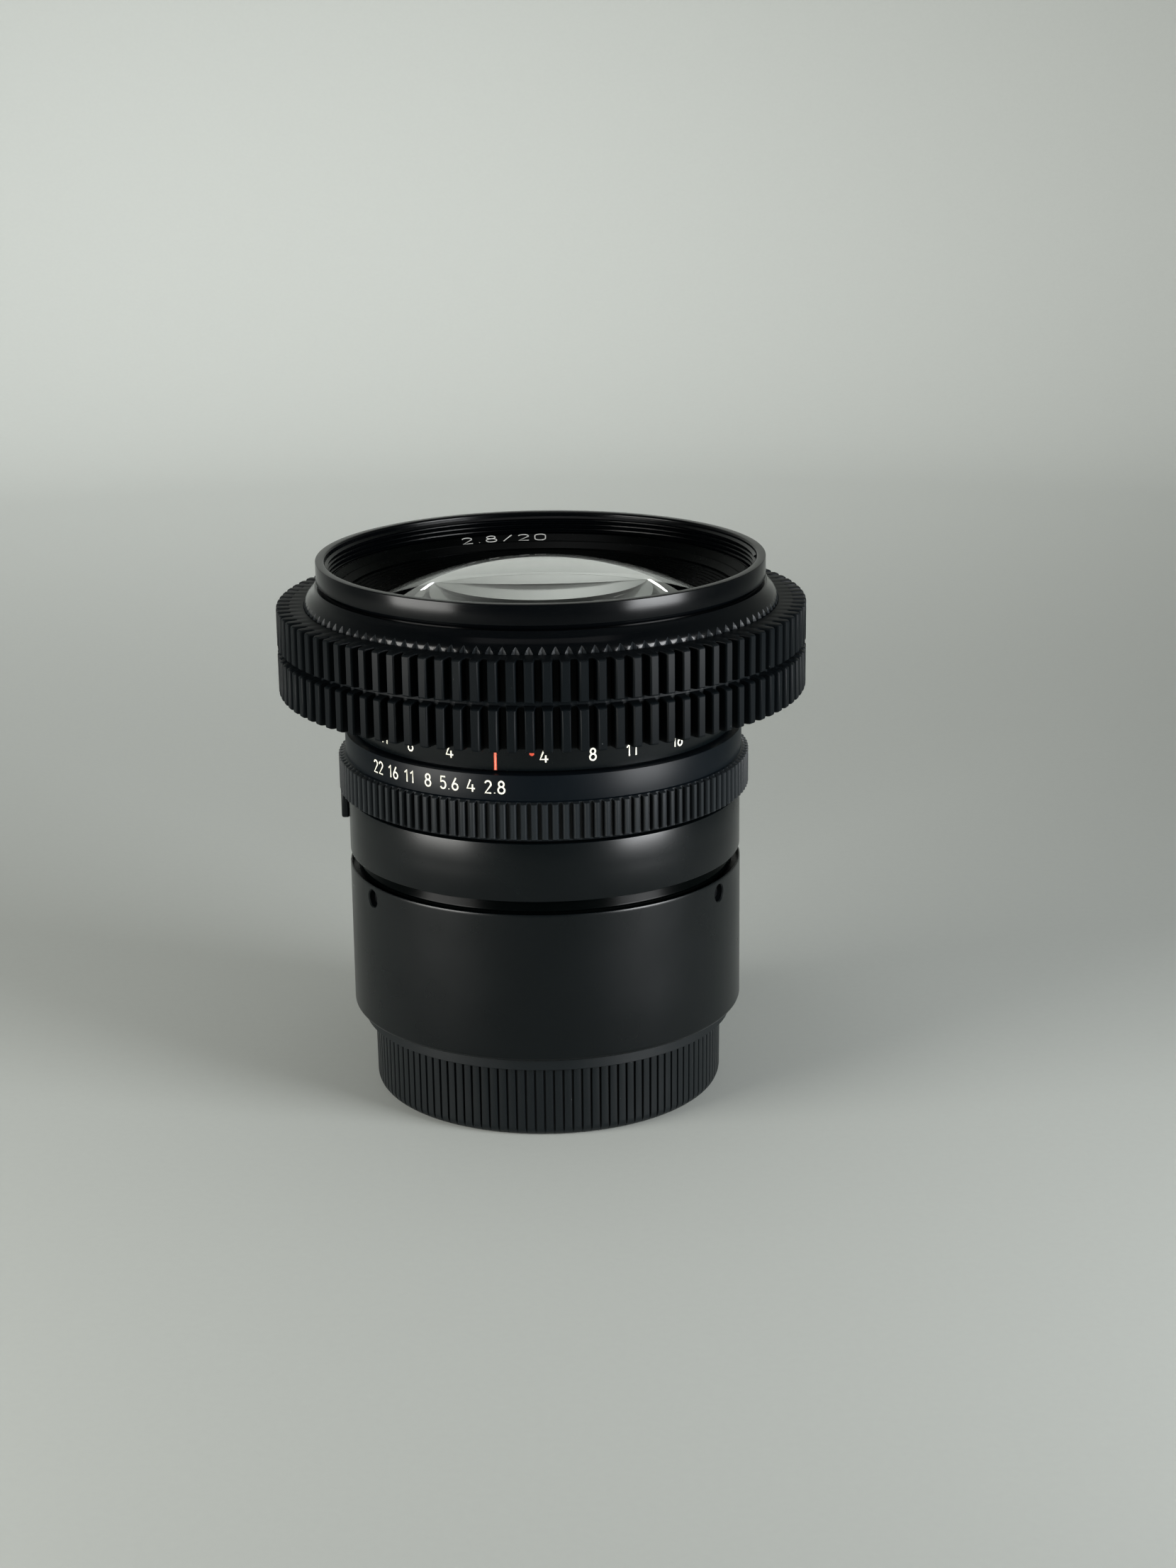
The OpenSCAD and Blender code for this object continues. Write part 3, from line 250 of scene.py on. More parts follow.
# ground and polished glass, coated: clear and sharp, the coating's tint drifts very slightly
def polishedGlass(name, ior):
    driftSize = 8 * mm
    mat, tree, shader, coords = newMaterial(name)
    drift = addNode(tree, "ShaderNodeTexNoise", {"Scale": 1 / driftSize}, {"Vector": coords})
    tint = addNode(tree, "ShaderNodeValToRGB", links={"Fac": drift.outputs["Fac"]})
    tint.color_ramp.elements[0].color = hexColour("#f7f9fa")
    tint.color_ramp.elements[1].color = hexColour("#fefffd")
    shader.inputs["Roughness"].default_value = 0.0
    shader.inputs["Transmission Weight"].default_value = 1.0
    shader.inputs["IOR"].default_value = ior
    tree.links.new(tint.outputs["Color"], shader.inputs["Base Color"])
    return mat


# matt black lacquer inside the barrel and on the glass edges: swallows light, slightly mottled
def mattLacquer(name, colour, rough):
    mottleSize = 0.5 * mm
    mat, tree, shader, coords = newMaterial(name)
    mottle = addNode(tree, "ShaderNodeTexNoise", {"Scale": 1 / mottleSize, "Detail": 3.0}, {"Vector": coords})
    dull = addNode(tree, "ShaderNodeMapRange", {"To Min": rough - 0.1, "To Max": rough + 0.1},
                   {"Value": mottle.outputs["Fac"]})
    shader.inputs["Base Color"].default_value = hexColour(colour)
    shader.inputs["Specular IOR Level"].default_value = 0.25
    tree.links.new(dull.outputs["Result"], shader.inputs["Roughness"])
    return mat


# engraving filled with enamel: slightly uneven and chalky
def filledEnamel(name, colour):
    wearSize = 0.35 * mm
    mat, tree, shader, coords = newMaterial(name)
    wear = addNode(tree, "ShaderNodeTexNoise", {"Scale": 1 / wearSize, "Detail": 3.0}, {"Vector": coords})
    tone = addNode(tree, "ShaderNodeValToRGB", links={"Fac": wear.outputs["Fac"]})
    tone.color_ramp.elements[0].position = 0.25
    tone.color_ramp.elements[0].color = hexColour(colour, 0.72)
    tone.color_ramp.elements[1].position = 0.6
    tone.color_ramp.elements[1].color = hexColour(colour)
    shader.inputs["Roughness"].default_value = 0.55
    shader.inputs["Specular IOR Level"].default_value = 0.3
    tree.links.new(tone.outputs["Color"], shader.inputs["Base Color"])
    return mat


# machined metal left bare: bright, with fine tool marks
def machinedMetal(name, colour, rough):
    markSize = 0.2 * mm
    mat, tree, shader, coords = newMaterial(name)
    marks = addNode(tree, "ShaderNodeTexNoise", {"Scale": 1 / markSize, "Detail": 2.0}, {"Vector": coords})
    gloss = addNode(tree, "ShaderNodeMapRange", {"To Min": rough - 0.08, "To Max": rough + 0.1},
                    {"Value": marks.outputs["Fac"]})
    shader.inputs["Base Color"].default_value = hexColour(colour)
    shader.inputs["Metallic"].default_value = 1.0
    tree.links.new(gloss.outputs["Result"], shader.inputs["Roughness"])
    return mat


adapterFinish = anodisedBlack("adapter_black_anodised_aluminium", "#020405", rough=0.28, specular=0.2)
barrelFinish = anodisedBlack("barrel_black_anodised_aluminium", "#020405", rough=0.26, specular=0.19)
ringFinish = anodisedBlack("aperture_ring_black_anodised_aluminium", "#04070a", rough=0.36, specular=0.08)
# the knurl's copy of the anodised black is lighter than the ring's own: a painted sheen for the light its ribs catch
knurlSheenFinish = anodisedBlack("knurl_black_anodised_aluminium_painted_sheen", "#121517", rough=0.36, specular=0.14)
lacquerFinish = turnedLacquer("rim_black_lacquer", "#020304", rough=0.18, specular=0.12)
shoulderFinish = turnedLacquer("focus_ring_black_lacquer", "#020304", rough=0.17, specular=0.13)
flangeFinish = turnedLacquer("flange_gloss_black_lacquer", "#010202", rough=0.2, specular=0.035)
gearFinish = mouldedPolymer("gear_moulded_black_polymer", "#06090b", rough=0.46, specular=0.06, dust=0.5)
capFinish = mouldedPolymer("cap_moulded_black_abs", "#070b0d", rough=0.42, specular=0.2, dust=0.8)
mattFinish = mattLacquer("inner_matt_black_lacquer", "#050506", rough=0.7)
baffleFinish = turnedLacquer("baffle_black_lacquer", "#010202", rough=0.26, specular=0.04)
whiteFill = filledEnamel("white_filled_enamel", "#d9d6c6")
redFill = filledEnamel("red_filled_enamel", "#b8452f")
paleFill = filledEnamel("pale_red_filled_enamel", "#d08a74")
greyFill = filledEnamel("grey_filled_enamel", "#b9b9b6")
steelFinish = machinedMetal("machined_steel", "#a8abad", rough=0.28)
brassFinish = machinedMetal("machined_brass", "#b8975a", rough=0.28)
chromeFinish = machinedMetal("satin_chrome_on_brass", "#c9ccce", rough=0.2)
bladeFinish = machinedMetal("blackened_blade_steel", "#3c3e41", rough=0.4)
screwFinish = machinedMetal("blackened_screw_steel", "#4b4d50", rough=0.35)
print("materials made:", len(bpy.data.materials))


rearCap = {"ribs": 120, "rib": 27.9, "ribSoft": 27.85, "valley": 27.45, "ribTop": 11.2, "foot": 27.8, "footEdge": 1.7,
           "axis": 0.0, "flat": 12.0, "under": 0.0, "lipFoot": 11.25, "lipIn": 29.38, "lip": 29.5, "lipLow": 11.75,
           "lipSide": 11.85, "lipHigh": 13.58, "top": 13.7, "lipBore": 27.7, "seat": 11.9, "bore": 25.95, "floor": 1.6}
capShape = mirrored([(0.33, rearCap["rib"]), (0.365, rearCap["ribSoft"]), (0.46, rearCap["valley"]),
                     (0.5, rearCap["valley"])])
footEdge = rearCap["footEdge"]
capLevels = levelsOf("at", profileOf(rearCap, "axis under, flat under"))
capLevels += levelsOf("cut", arcPoints(rearCap["foot"] - footEdge, footEdge, footEdge, footEdge, -90, 0, 6))
capLevels += levelsOf("cut", profileOf(rearCap, "rib ribTop"))
capLevels += levelsOf("at", profileOf(rearCap, "rib lipFoot, lipIn lipLow, lip lipSide, lip lipHigh, lipIn top, "
                                      "lipBore top, lipBore seat, bore seat, bore floor, axis floor"))
bm = bmesh.new()
ribbedRing(bm, capShape, rearCap["ribs"], capLevels)
finishPiece("rear_cap_shell", bm, "cap", [capFinish], ["rear_cap"])
print("rear cap made")


adapter = {"radius": 31.1, "under": 13.8, "edge": 0.7, "rows": (24.0, 33.46, 34.6, 36.0, 37.0), "top": 37.46,
           "topEdge": 0.16, "lipIn": 30.86, "lipHigh": 37.4, "grooveOut": 30.8, "grooveIn": 29.75, "grooveFloor": 36.5,
           "ledge": 29.68, "ledgeHigh": 37.42, "recess": 27.03, "seat": 30.96, "throat": 23.6, "plate": 27.43,
           "plateTop": 15.0, "mouthLow": 36.4, "mouthOut": 30.87, "steps": 120}
screwHole = {"level": 35.31, "polars": (90, 210, 330), "radius": 1.52, "patch": 6, "sink": ((0.2, 0.9), (3.4, 1.0))}
profile = [(adapter["plate"], adapter["under"])]
profile += arcPoints(adapter["radius"] - adapter["edge"], adapter["under"] + adapter["edge"], adapter["edge"],
                     adapter["edge"], -90, 0, 8)
profile += [(adapter["radius"], z) for z in adapter["rows"]]
profile += arcPoints(adapter["radius"] - adapter["topEdge"], adapter["top"] - adapter["topEdge"], adapter["topEdge"],
                     adapter["topEdge"], 15, 90, 4)
# a groove runs inside the top edge, round the lens flange; it is painted dark, a painted shade
profile += profileOf(adapter, "lipIn lipHigh, grooveOut grooveFloor, grooveIn grooveFloor, ledge ledgeHigh, "
                              "recess ledgeHigh, recess seat, throat seat, throat plateTop, plate plateTop")
bm = bmesh.new()
turnProfile(bm, profile, steps=adapter["steps"])
for polar in screwHole["polars"]:
    outwards = outwardsAt(polar)
    patch = []
    for face in bm.faces:
        middle = face.calc_center_median()
        inRows = adapter["rows"][1] < middle.z / mm < adapter["rows"][-1]
        onWall = middle.xy.length / mm > adapter["radius"] - 0.1
        if inRows and onWall and abs(polarOf(middle) - polar) < screwHole["patch"]:
            patch.append(face)
    bmesh.ops.delete(bm, geom=patch, context="FACES")
    wall = [e for e in bm.edges if e.is_boundary]
    ring = bmesh.ops.create_circle(bm, segments=28, radius=screwHole["radius"] * mm,
                                   matrix=facingOut(polar, screwHole["level"]))["verts"]
    edge = list({e for v in ring for e in v.link_edges})
    for v in ring:  # the mouth lies on the tube's wall
        side = v.co.dot(Vector((-outwards.y, outwards.x, 0)))
        v.co += outwards * math.sqrt((adapter["radius"] * mm) ** 2 - side ** 2)
    bmesh.ops.bridge_loops(bm, edges=wall + edge)
    for inward, shrink in screwHole["sink"]:
        born, edge = growEdges(bm, edge)
        middle = sum((v.co for v in born), Vector()) / len(born)
        bmesh.ops.scale(bm, vec=(shrink,) * 3, verts=born, space=Matrix.Translation(-middle))
        bmesh.ops.translate(bm, vec=-outwards * inward * mm, verts=born)
    bmesh.ops.edgeloop_fill(bm, edges=edge)
for face in bm.faces:  # the mouth inside the top edge is darker than the tube: painted shade in the recess
    middle = face.calc_center_median() / mm
    face.material_index = 1 if middle.z > adapter["mouthLow"] and middle.xy.length < adapter["mouthOut"] else 0
finishPiece("adapter_tube", bm, "barrel", [adapterFinish, baffleFinish], ["adapter_body"],
            sharpAngle=30)

grub = {"radius": 1.42, "inner": 27.75, "outer": 30.05, "edge": 0.15, "edgeShare": 0.88, "socketShare": 0.66 / 1.06,
        "depth": 1.1}
grubSteps = [(grub["outer"] - grub["inner"] - grub["edge"], 1.0), (grub["edge"], grub["edgeShare"]),
             (0.0, grub["socketShare"]), (-grub["depth"], 1.0)]
bm = bmesh.new()
for polar in screwHole["polars"]:
    end = bmesh.ops.create_circle(bm, cap_ends=True, radius=grub["radius"] * mm, segments=24,
                                  matrix=facingOut(polar, screwHole["level"], grub["inner"]))["verts"]
    face = end[0].link_faces[0]
    for go, size in grubSteps:
        grown = bmesh.ops.extrude_face_region(bm, geom=[face])["geom"]
        face = next(f for f in grown if isinstance(f, bmesh.types.BMFace))
        middle = face.calc_center_median()
        bmesh.ops.scale(bm, vec=(size,) * 3, verts=face.verts[:], space=Matrix.Translation(-middle))
        bmesh.ops.translate(bm, vec=outwardsAt(polar) * go * mm, verts=face.verts[:])
finishPiece("adapter_grub_screws", bm, "barrel", [screwFinish], ["adapter_set_screws"])
print("adapter made")


# the flange's wall leans in, so it mirrors the dark above
flange = {"bore": 13.2, "collarIn": 19.2, "collar": 20.95, "collarLow": 31.4, "foot": 29.66, "footHigh": 37.7,
          "brow": 29.1, "browLow": 38.9, "low": 37.46, "high": 39.5, "edge": 0.12}
bm = bmesh.new()
turnProfile(bm, profileOf(flange, "bore low, collarIn low, collarIn collarLow, collar collarLow, collar low, foot low, "
                          "foot footHigh, brow browLow, brow high, bore high"), softCorner=flange["edge"])
finishPiece("lens_flange", bm, "barrel", [flangeFinish], ["mount_base"])

rearBarrel = {"radius": 31.03, "low": 39.5, "high": 48.66, "edge": 0.16, "foot": 26.43, "footTop": 41.2, "bore": 29.03,
              "neck": 26.65, "neckLow": 47.0, "slotLow": 43.65, "slotHigh": 44.85, "slotFrom": 148, "slotTo": 174}
slotRows = (2, 3, 8, 9)  # the profile's points at the slot stay where they are
bm = bmesh.new()
turnProfile(bm, profileOf(rearBarrel, "foot low, radius low, radius slotLow, radius slotHigh, radius high, neck high, "
                          "neck neckLow, bore neckLow, bore slotHigh, bore slotLow, bore footTop, foot footTop"),
            steps=180, softCorner=rearBarrel["edge"], keepSharp=slotRows)
slot = [f for f in bm.faces if rearBarrel["slotLow"] < f.calc_center_median().z / mm < rearBarrel["slotHigh"]
        and rearBarrel["slotFrom"] < polarOf(f.calc_center_median()) < rearBarrel["slotTo"]]
bmesh.ops.delete(bm, geom=slot, context="FACES")
bmesh.ops.bridge_loops(bm, edges=[e for e in bm.edges if e.is_boundary])
finishPiece("rear_barrel_shell", bm, "barrel", [barrelFinish], ["rear_barrel"])

lever = {"at": 170, "tab": (31.2, 32.5, 43.4, 48.6), "tabWide": 16, "tabEdge": 0.35,
         "stalk": (28.0, 31.5, 43.75, 44.75), "stalkWide": 6, "ring": (26.4, 28.7, 43.75, 44.75), "ringWide": 24}
bm = bmesh.new()
sweepBlock(bm, *lever["tab"], lever["at"], lever["tabWide"], 10)
bmesh.ops.recalc_face_normals(bm, faces=bm.faces[:])
crisp = [e for e in bm.edges if e.is_manifold and e.calc_face_angle() > 0.6]
bmesh.ops.bevel(bm, geom=crisp, offset=lever["tabEdge"] * mm, offset_type="OFFSET", segments=3, profile=0.5,
                affect="EDGES", material=-1)
sweepBlock(bm, *lever["stalk"], lever["at"], lever["stalkWide"], 4)
sweepBlock(bm, *lever["ring"], lever["at"], lever["ringWide"], 10)
finishPiece("mode_lever", bm, "lever", [barrelFinish], ["auto_manual_lever"])

# the return spring is squeezed between the pin's collar and the plate above it
spring = {"radius": 1.35, "wire": 0.2, "low": 40.5, "high": 45.0, "turns": 5, "circle": 16.4, "at": 250, "travel": 2.5}
bm = bmesh.new()
section = bmesh.ops.create_circle(bm, cap_ends=True, radius=spring["wire"] * mm, segments=10,
                                  matrix=Matrix.Translation((spring["radius"] * mm, 0, 0))
                                  @ Matrix.Rotation(math.radians(90), 4, "X"))["verts"]
climb = spring["high"] - spring["low"] - 2 * spring["wire"]
coilSteps = 24 * spring["turns"]
bmesh.ops.spin(bm, geom=[section[0].link_faces[0]], cent=(0, 0, 0), axis=(0, 0, 1), steps=coilSteps,
               dvec=(0, 0, climb * mm / coilSteps), angle=2 * math.pi * spring["turns"])
bmesh.ops.translate(bm, verts=bm.verts[:], vec=(spring["circle"] * mm, 0, (spring["low"] + spring["wire"]) * mm))
bmesh.ops.rotate(bm, verts=bm.verts[:], cent=(0, 0, 0), matrix=Matrix.Rotation(math.radians(spring["at"]), 3, "Z"))
coil = finishPiece("pin_return_spring", bm, "barrel", [steelFinish], ["stop_down_spring"], sharpAngle=50)
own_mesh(coil)
print("rear barrel made")


scaleBarrel = {"radius": 30.0, "journal": 28.5, "bore": 26.65, "low": 48.66, "track": 27.8, "trackLow": 56.5,
               "trackHigh": 58.3, "step": 59.65, "flare": 33.0, "flareLow": 66.3, "flareHigh": 74.9, "flareBore": 30.4,
               "floor": 67.2, "edge": 0.1}
bm = bmesh.new()
turnProfile(bm, profileOf(scaleBarrel, "bore low, journal low, journal trackLow, track trackLow, track trackHigh, "
                          "journal trackHigh, journal step, radius step, radius flareLow, flare flareLow, "
                          "flare flareHigh, flareBore flareHigh, flareBore floor, bore floor"),
            softCorner=scaleBarrel["edge"])
finishPiece("scale_barrel_shell", bm, "barrel", [barrelFinish], ["scale_barrel"])

# the ribs are rounded over, so each one catches a streak from both sides
apertureRing = {"ribs": 128, "rib": 32.4, "flank": [(0.16, 32.37), (0.26, 32.2), (0.3, 32.0)], "valley": 31.62,
                "valleyFrom": 0.345, "bore": 28.55, "low": 49.05, "high": 59.35, "band": 31.3, "bandLow": 55.44,
                "bandHigh": 59.2, "ribLow": 49.8, "ribHigh": 55.08, "knurlIn": 31.0, "knurlTop": 55.3,
                "footBevel": [(30.95, 49.05), (31.05, 49.1), (31.64, 49.4), (32.38, 49.74)],
                "ribEnd": [(32.36, 55.12), (31.64, 55.3), (31.36, 55.4)], "topEdge": [(31.26, 59.31), (31.14, 59.35)]}
ringShape = mirrored(apertureRing["flank"] + [(apertureRing["valleyFrom"], apertureRing["valley"]),
                                              (0.5, apertureRing["valley"])], [(0.0, apertureRing["rib"])])
ringOutline = profileOf(apertureRing, "bore low") + apertureRing["footBevel"]
ringOutline += profileOf(apertureRing, "rib ribLow, rib ribHigh") + apertureRing["ribEnd"]
ringOutline += profileOf(apertureRing, "band bandLow, band bandHigh") + apertureRing["topEdge"]
ringOutline += profileOf(apertureRing, "bore high")
bm = bmesh.new()
ribbedRing(bm, ringShape, apertureRing["ribs"], levelsOf("cut", ringOutline))
# the knurl faces take the lighter copy of the black, a painted sheen
for face in bm.faces:
    middle = face.calc_center_median() / mm
    knurl = middle.z < apertureRing["knurlTop"] and middle.xy.length > apertureRing["knurlIn"]
    face.material_index = 1 if knurl else 0
finishPiece("aperture_ring_shell", bm, "aperture", [ringFinish, knurlSheenFinish], ["aperture_ring"])
print("aperture ring made")


focusRing = {"ribs": 120, "tip": 37.0, "tipFrom": 0.32, "soft": 36.97, "groove": 0.29, "root": 36.62, "bore": 34.83,
             "low": 66.9, "lead": 36.6, "leadHigh": 67.2, "knurlHigh": 79.2, "flankTurn": 0.15, "top": 82.3,
             "runOut": [(36.94, 79.55), (36.85, 79.85), (36.74, 80.1), (36.64, 80.28)],
             "shoulder": [(36.6, 80.34), (36.29, 80.75), (35.87, 81.2), (35.55, 81.6), (35.36, 82.0), (35.25, 82.22),
                          (35.2, 82.28), (35.1, 82.3)],
             "mouth": 34.3, "mouthLow": 78.5, "seat": 30.4, "seatLow": 76.9}
focusShape = mirrored([(focusRing["groove"], focusRing["soft"]), (focusRing["tipFrom"], focusRing["tip"]),
                       (0.5, focusRing["tip"])], [(0.0, focusRing["root"])])
focusLevels = levelsOf("cut", profileOf(focusRing, "bore low, lead low, tip leadHigh, tip knurlHigh"))
for r, z in focusRing["runOut"]:
    focusLevels.append((z, "cut", r, 1 - (r - focusRing["root"]) / (focusRing["tip"] - focusRing["root"])))
focusLevels += levelsOf("cut", focusRing["shoulder"])
focusLevels += levelsOf("cut", profileOf(focusRing, "mouth top, mouth mouthLow, seat mouthLow, seat seatLow, "
                                         "bore seatLow"))
bm = bmesh.new()
ribbedRing(bm, focusShape, focusRing["ribs"], focusLevels)
for face in bm.faces:  # the cut sides of the knurl stay duller than the lacquered shoulder and take the lighter copy of the black, a painted sheen
    outwards = face.calc_center_median().xy.normalized()
    face.material_index = 1 if abs(face.normal.xy.cross(outwards)) > focusRing["flankTurn"] else 0
finishPiece("focus_ring_shell", bm, "focus", [shoulderFinish, knurlSheenFinish], ["focus_ring"])

gear = {"teeth": 97, "tip": 41.3, "root": 39.4, "bore": 37.05, "low": 65.62, "high": 79.2, "round": 0.36,
        "flank": [(0.185, 41.3), (0.235, 41.16), (0.265, 40.9), (0.315, 39.65)], "rootFrom": 0.355,
        "grooveLow": 72.05, "grooveHigh": 72.95,
        "grooveWall": [(0.3, 41.3), (0.12, 41.14), (0.02, 40.8), (-0.08, 40.2), (-0.2, 39.3)]}
gearShape = mirrored(gear["flank"] + [(gear["rootFrom"], gear["root"]), (0.5, gear["root"])])
endRound = [(gear["round"] * (1 - math.sin(math.radians(a))), gear["round"] * (1 - math.cos(math.radians(a))))
            for a in (0, 22, 45, 68, 90)]
gearLevels = levelsOf("at", profileOf(gear, "bore low"))
gearLevels += [(gear["low"] + rise, "inset", pull) for pull, rise in endRound]
gearLevels += [(gear["grooveLow"] - out, "cut", r) for out, r in gear["grooveWall"]]
gearLevels += [(gear["grooveHigh"] + out, "cut", r) for out, r in reversed(gear["grooveWall"])]
gearLevels += [(gear["high"] - rise, "inset", pull) for pull, rise in reversed(endRound)]
gearLevels += levelsOf("at", profileOf(gear, "bore high"))
bm = bmesh.new()
ribbedRing(bm, gearShape, gear["teeth"], gearLevels)
finishPiece("follow_focus_gear", bm, "focus", [gearFinish], ["focus_gear_ring"], sharpAngle=40)
print("focus ring and gear made")


filterRing = {"rim": 35.0, "top": 86.14, "under": 82.94, "skirt": 33.9, "low": 78.8, "bore": 30.03, "floor": 79.7,
              "seat": 32.85, "ledge": 82.6, "root": 33.55, "threadTop": 85.9, "mouth": 33.75, "edge": 0.14}
thread = {"pitch": 0.75, "turns": 3.6, "turnSteps": 96, "crest": 33.15, "base": 33.62, "level": 85.28, "half": 0.34}
bm = bmesh.new()
turnProfile(bm, profileOf(filterRing, "bore low, skirt low, skirt under, rim under, rim top, mouth top, "
                          "root threadTop, root ledge, seat ledge, seat floor, bore floor"),
            steps=192, softCorner=filterRing["edge"])
crest = [bm.verts.new((r * mm, 0, (thread["level"] + rise) * mm))
         for r, rise in ((thread["base"], thread["half"]), (thread["crest"], 0.0), (thread["base"], -thread["half"]))]
strand = [bm.edges.new(pair) for pair in zip(crest, crest[1:] + crest[:1])]
bmesh.ops.spin(bm, geom=crest + strand, cent=(0, 0, 0), axis=(0, 0, 1), angle=2 * math.pi * thread["turns"],
               dvec=(0, 0, -thread["pitch"] * mm / thread["turnSteps"]),
               steps=int(thread["turnSteps"] * thread["turns"]))
bmesh.ops.holes_fill(bm, edges=[e for e in bm.edges if e.is_boundary], sides=4)
finishPiece("filter_rim", bm, "lens_unit", [lacquerFinish], ["filter_ring"])

nameRing = {"outer": 32.8, "inner": 30.65, "foot": 79.7, "top": 82.6, "brow": 32.62, "step": 31.75, "stepHigh": 81.62,
            "stepIn": 31.7, "stepLow": 81.5, "low": 80.62}
bm = bmesh.new()
turnProfile(bm, profileOf(nameRing, "inner foot, outer foot, outer top, brow top, step stepHigh, stepIn stepLow, "
                          "inner low"), steps=160)
finishPiece("name_band", bm, "lens_unit", [baffleFinish], ["name_ring"], sharpAngle=12)

baffle = {"rim": (30.6, 80.4), "lip": (26.95, 78.25), "ridges": 7, "crestAt": 0.62, "height": 0.16,
          "back": [(26.95, 78.13), (27.35, 77.91), (29.0, 77.91), (29.0, 79.16), (30.0, 79.16), (30.0, 79.75),
                   (30.6, 79.75)]}
slope = []
for i in range(baffle["ridges"]):
    for step, lift in ((0.0, 0.0), (baffle["crestAt"], baffle["height"])):
        t = (i + step) / baffle["ridges"]
        slope.append((baffle["rim"][0] + (baffle["lip"][0] - baffle["rim"][0]) * t,
                      baffle["rim"][1] + (baffle["lip"][1] - baffle["rim"][1]) * t + lift))
bm = bmesh.new()
turnProfile(bm, baffle["back"] + slope + [baffle["lip"]], steps=160)
finishPiece("ridged_baffle", bm, "lens_unit", [baffleFinish], ["front_baffle"], sharpAngle=15)
print("front rings made")


# each glass: edge radius, front crown and curve, back crown and curve (minus hollows the glass), refractive index
glasses = {
    "front_element": (27.5, 84.93, 56.0, 78.63, -110.0, 1.75),
    "second_element": (17.8, 76.5, 30.0, 74.7, -16.0, 1.6),
    "third_element": (12.0, 68.6, 24.0, 63.6, 60.0, 1.65),
    "fourth_element": (10.5, 63.2, 26.0, 60.2, 0.0, 1.62),
    "fifth_element": (9.6, 51.9, -25.0, 50.6, -18.0, 1.7),
    "sixth_element": (9.6, 50.58, 17.98, 44.4, 40.0, 1.6),
    "seventh_element": (9.6, 43.3, -60.0, 41.2, 24.0, 1.6),
    "eighth_element": (9.6, 40.7, 50.0, 37.4, 30.0, 1.6),
}
ground = {"upright": 0.02, "level": 0.9999, "outer": 0.85, "slack": 1e-3}


def faceCurve(vertex, curve, edge, bulge, steps=40):
    if curve == 0:
        return [(edge * i / steps, vertex) for i in range(steps + 1)]
    side = 1 if (curve > 0) == bulge else -1
    reach = abs(curve)
    centre = vertex - side * reach
    out = min(edge, reach * 0.999)
    return [(out * i / steps, centre + side * math.sqrt(reach ** 2 - (out * i / steps) ** 2)) for i in range(steps + 1)]


for nodeName, (edge, frontTop, frontCurve, backTop, backCurve, ior) in glasses.items():
    low, high = (corner.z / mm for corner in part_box(nodeName))
    slack = ground["slack"]
    front = faceCurve(frontTop, frontCurve, edge, True)
    back = faceCurve(backTop, backCurve, edge, False)
    if frontCurve < 0:  # a hollow stops at the flat round it
        front = [(r, z) for r, z in front if z <= high + slack]
    if backCurve < 0:
        back = [(r, z) for r, z in back if z >= low - slack]
    rims = [(edge, side[-1][1]) for side in (front, back) if side[-1][0] < edge - slack]
    bm = bmesh.new()
    turnProfile(bm, front + rims + back[::-1], steps=160, closed=False)
    for face in bm.faces:  # the ground edge and its flat seat are inked black
        across = max(v.co.xy.length for v in face.verts) / mm
        lean = abs(face.normal.z)
        seat = lean > ground["level"] and across > edge * ground["outer"] and backCurve != 0
        face.material_index = 1 if lean < ground["upright"] or seat else 0
    finishPiece(nodeName.replace("element", "glass"), bm, "lens_unit",
                [polishedGlass(nodeName + "_polished_glass", ior), mattFinish], [nodeName], sharpAngle=25)
print("glass made:", len(glasses))


# single-stroke figures in a box one unit tall, as a pantograph cuts them
figures = {
    "0": [arcPoints(0.26, 0.74, 0.24, 0.26, 0, 180) + arcPoints(0.26, 0.26, 0.24, 0.26, 180, 360) + [(0.5, 0.74)]],
    "1": [[(0.08, 0.76), (0.3, 1.0), (0.3, 0.0)]],
    "2": [arcPoints(0.26, 0.74, 0.23, 0.26, 165, -25) + [(0.03, 0.0), (0.5, 0.0)]],
    "4": [[(0.3, 1.0), (0.02, 0.27), (0.66, 0.27)], [(0.46, 0.62), (0.46, 0.0)]],
    "5": [[(0.46, 1.0), (0.09, 1.0), (0.06, 0.56)] + arcPoints(0.25, 0.32, 0.24, 0.32, 125, -150)],
    "6": [[(0.34, 1.0), (0.07, 0.46)] + arcPoints(0.26, 0.27, 0.24, 0.27, 150, 510)],
    "8": [arcPoints(0.26, 0.77, 0.2, 0.23, -90, 270, 16), arcPoints(0.26, 0.27, 0.25, 0.27, 90, 450, 18)],
    ".": [[(0.06, 0.0), (0.06, 0.05)]],
    "/": [[(0.05, 0.0), (0.45, 1.0)]],
}
figureWide = {"1": 0.44, "4": 0.68, ".": 0.16, "/": 0.5}
usualWide = 0.54


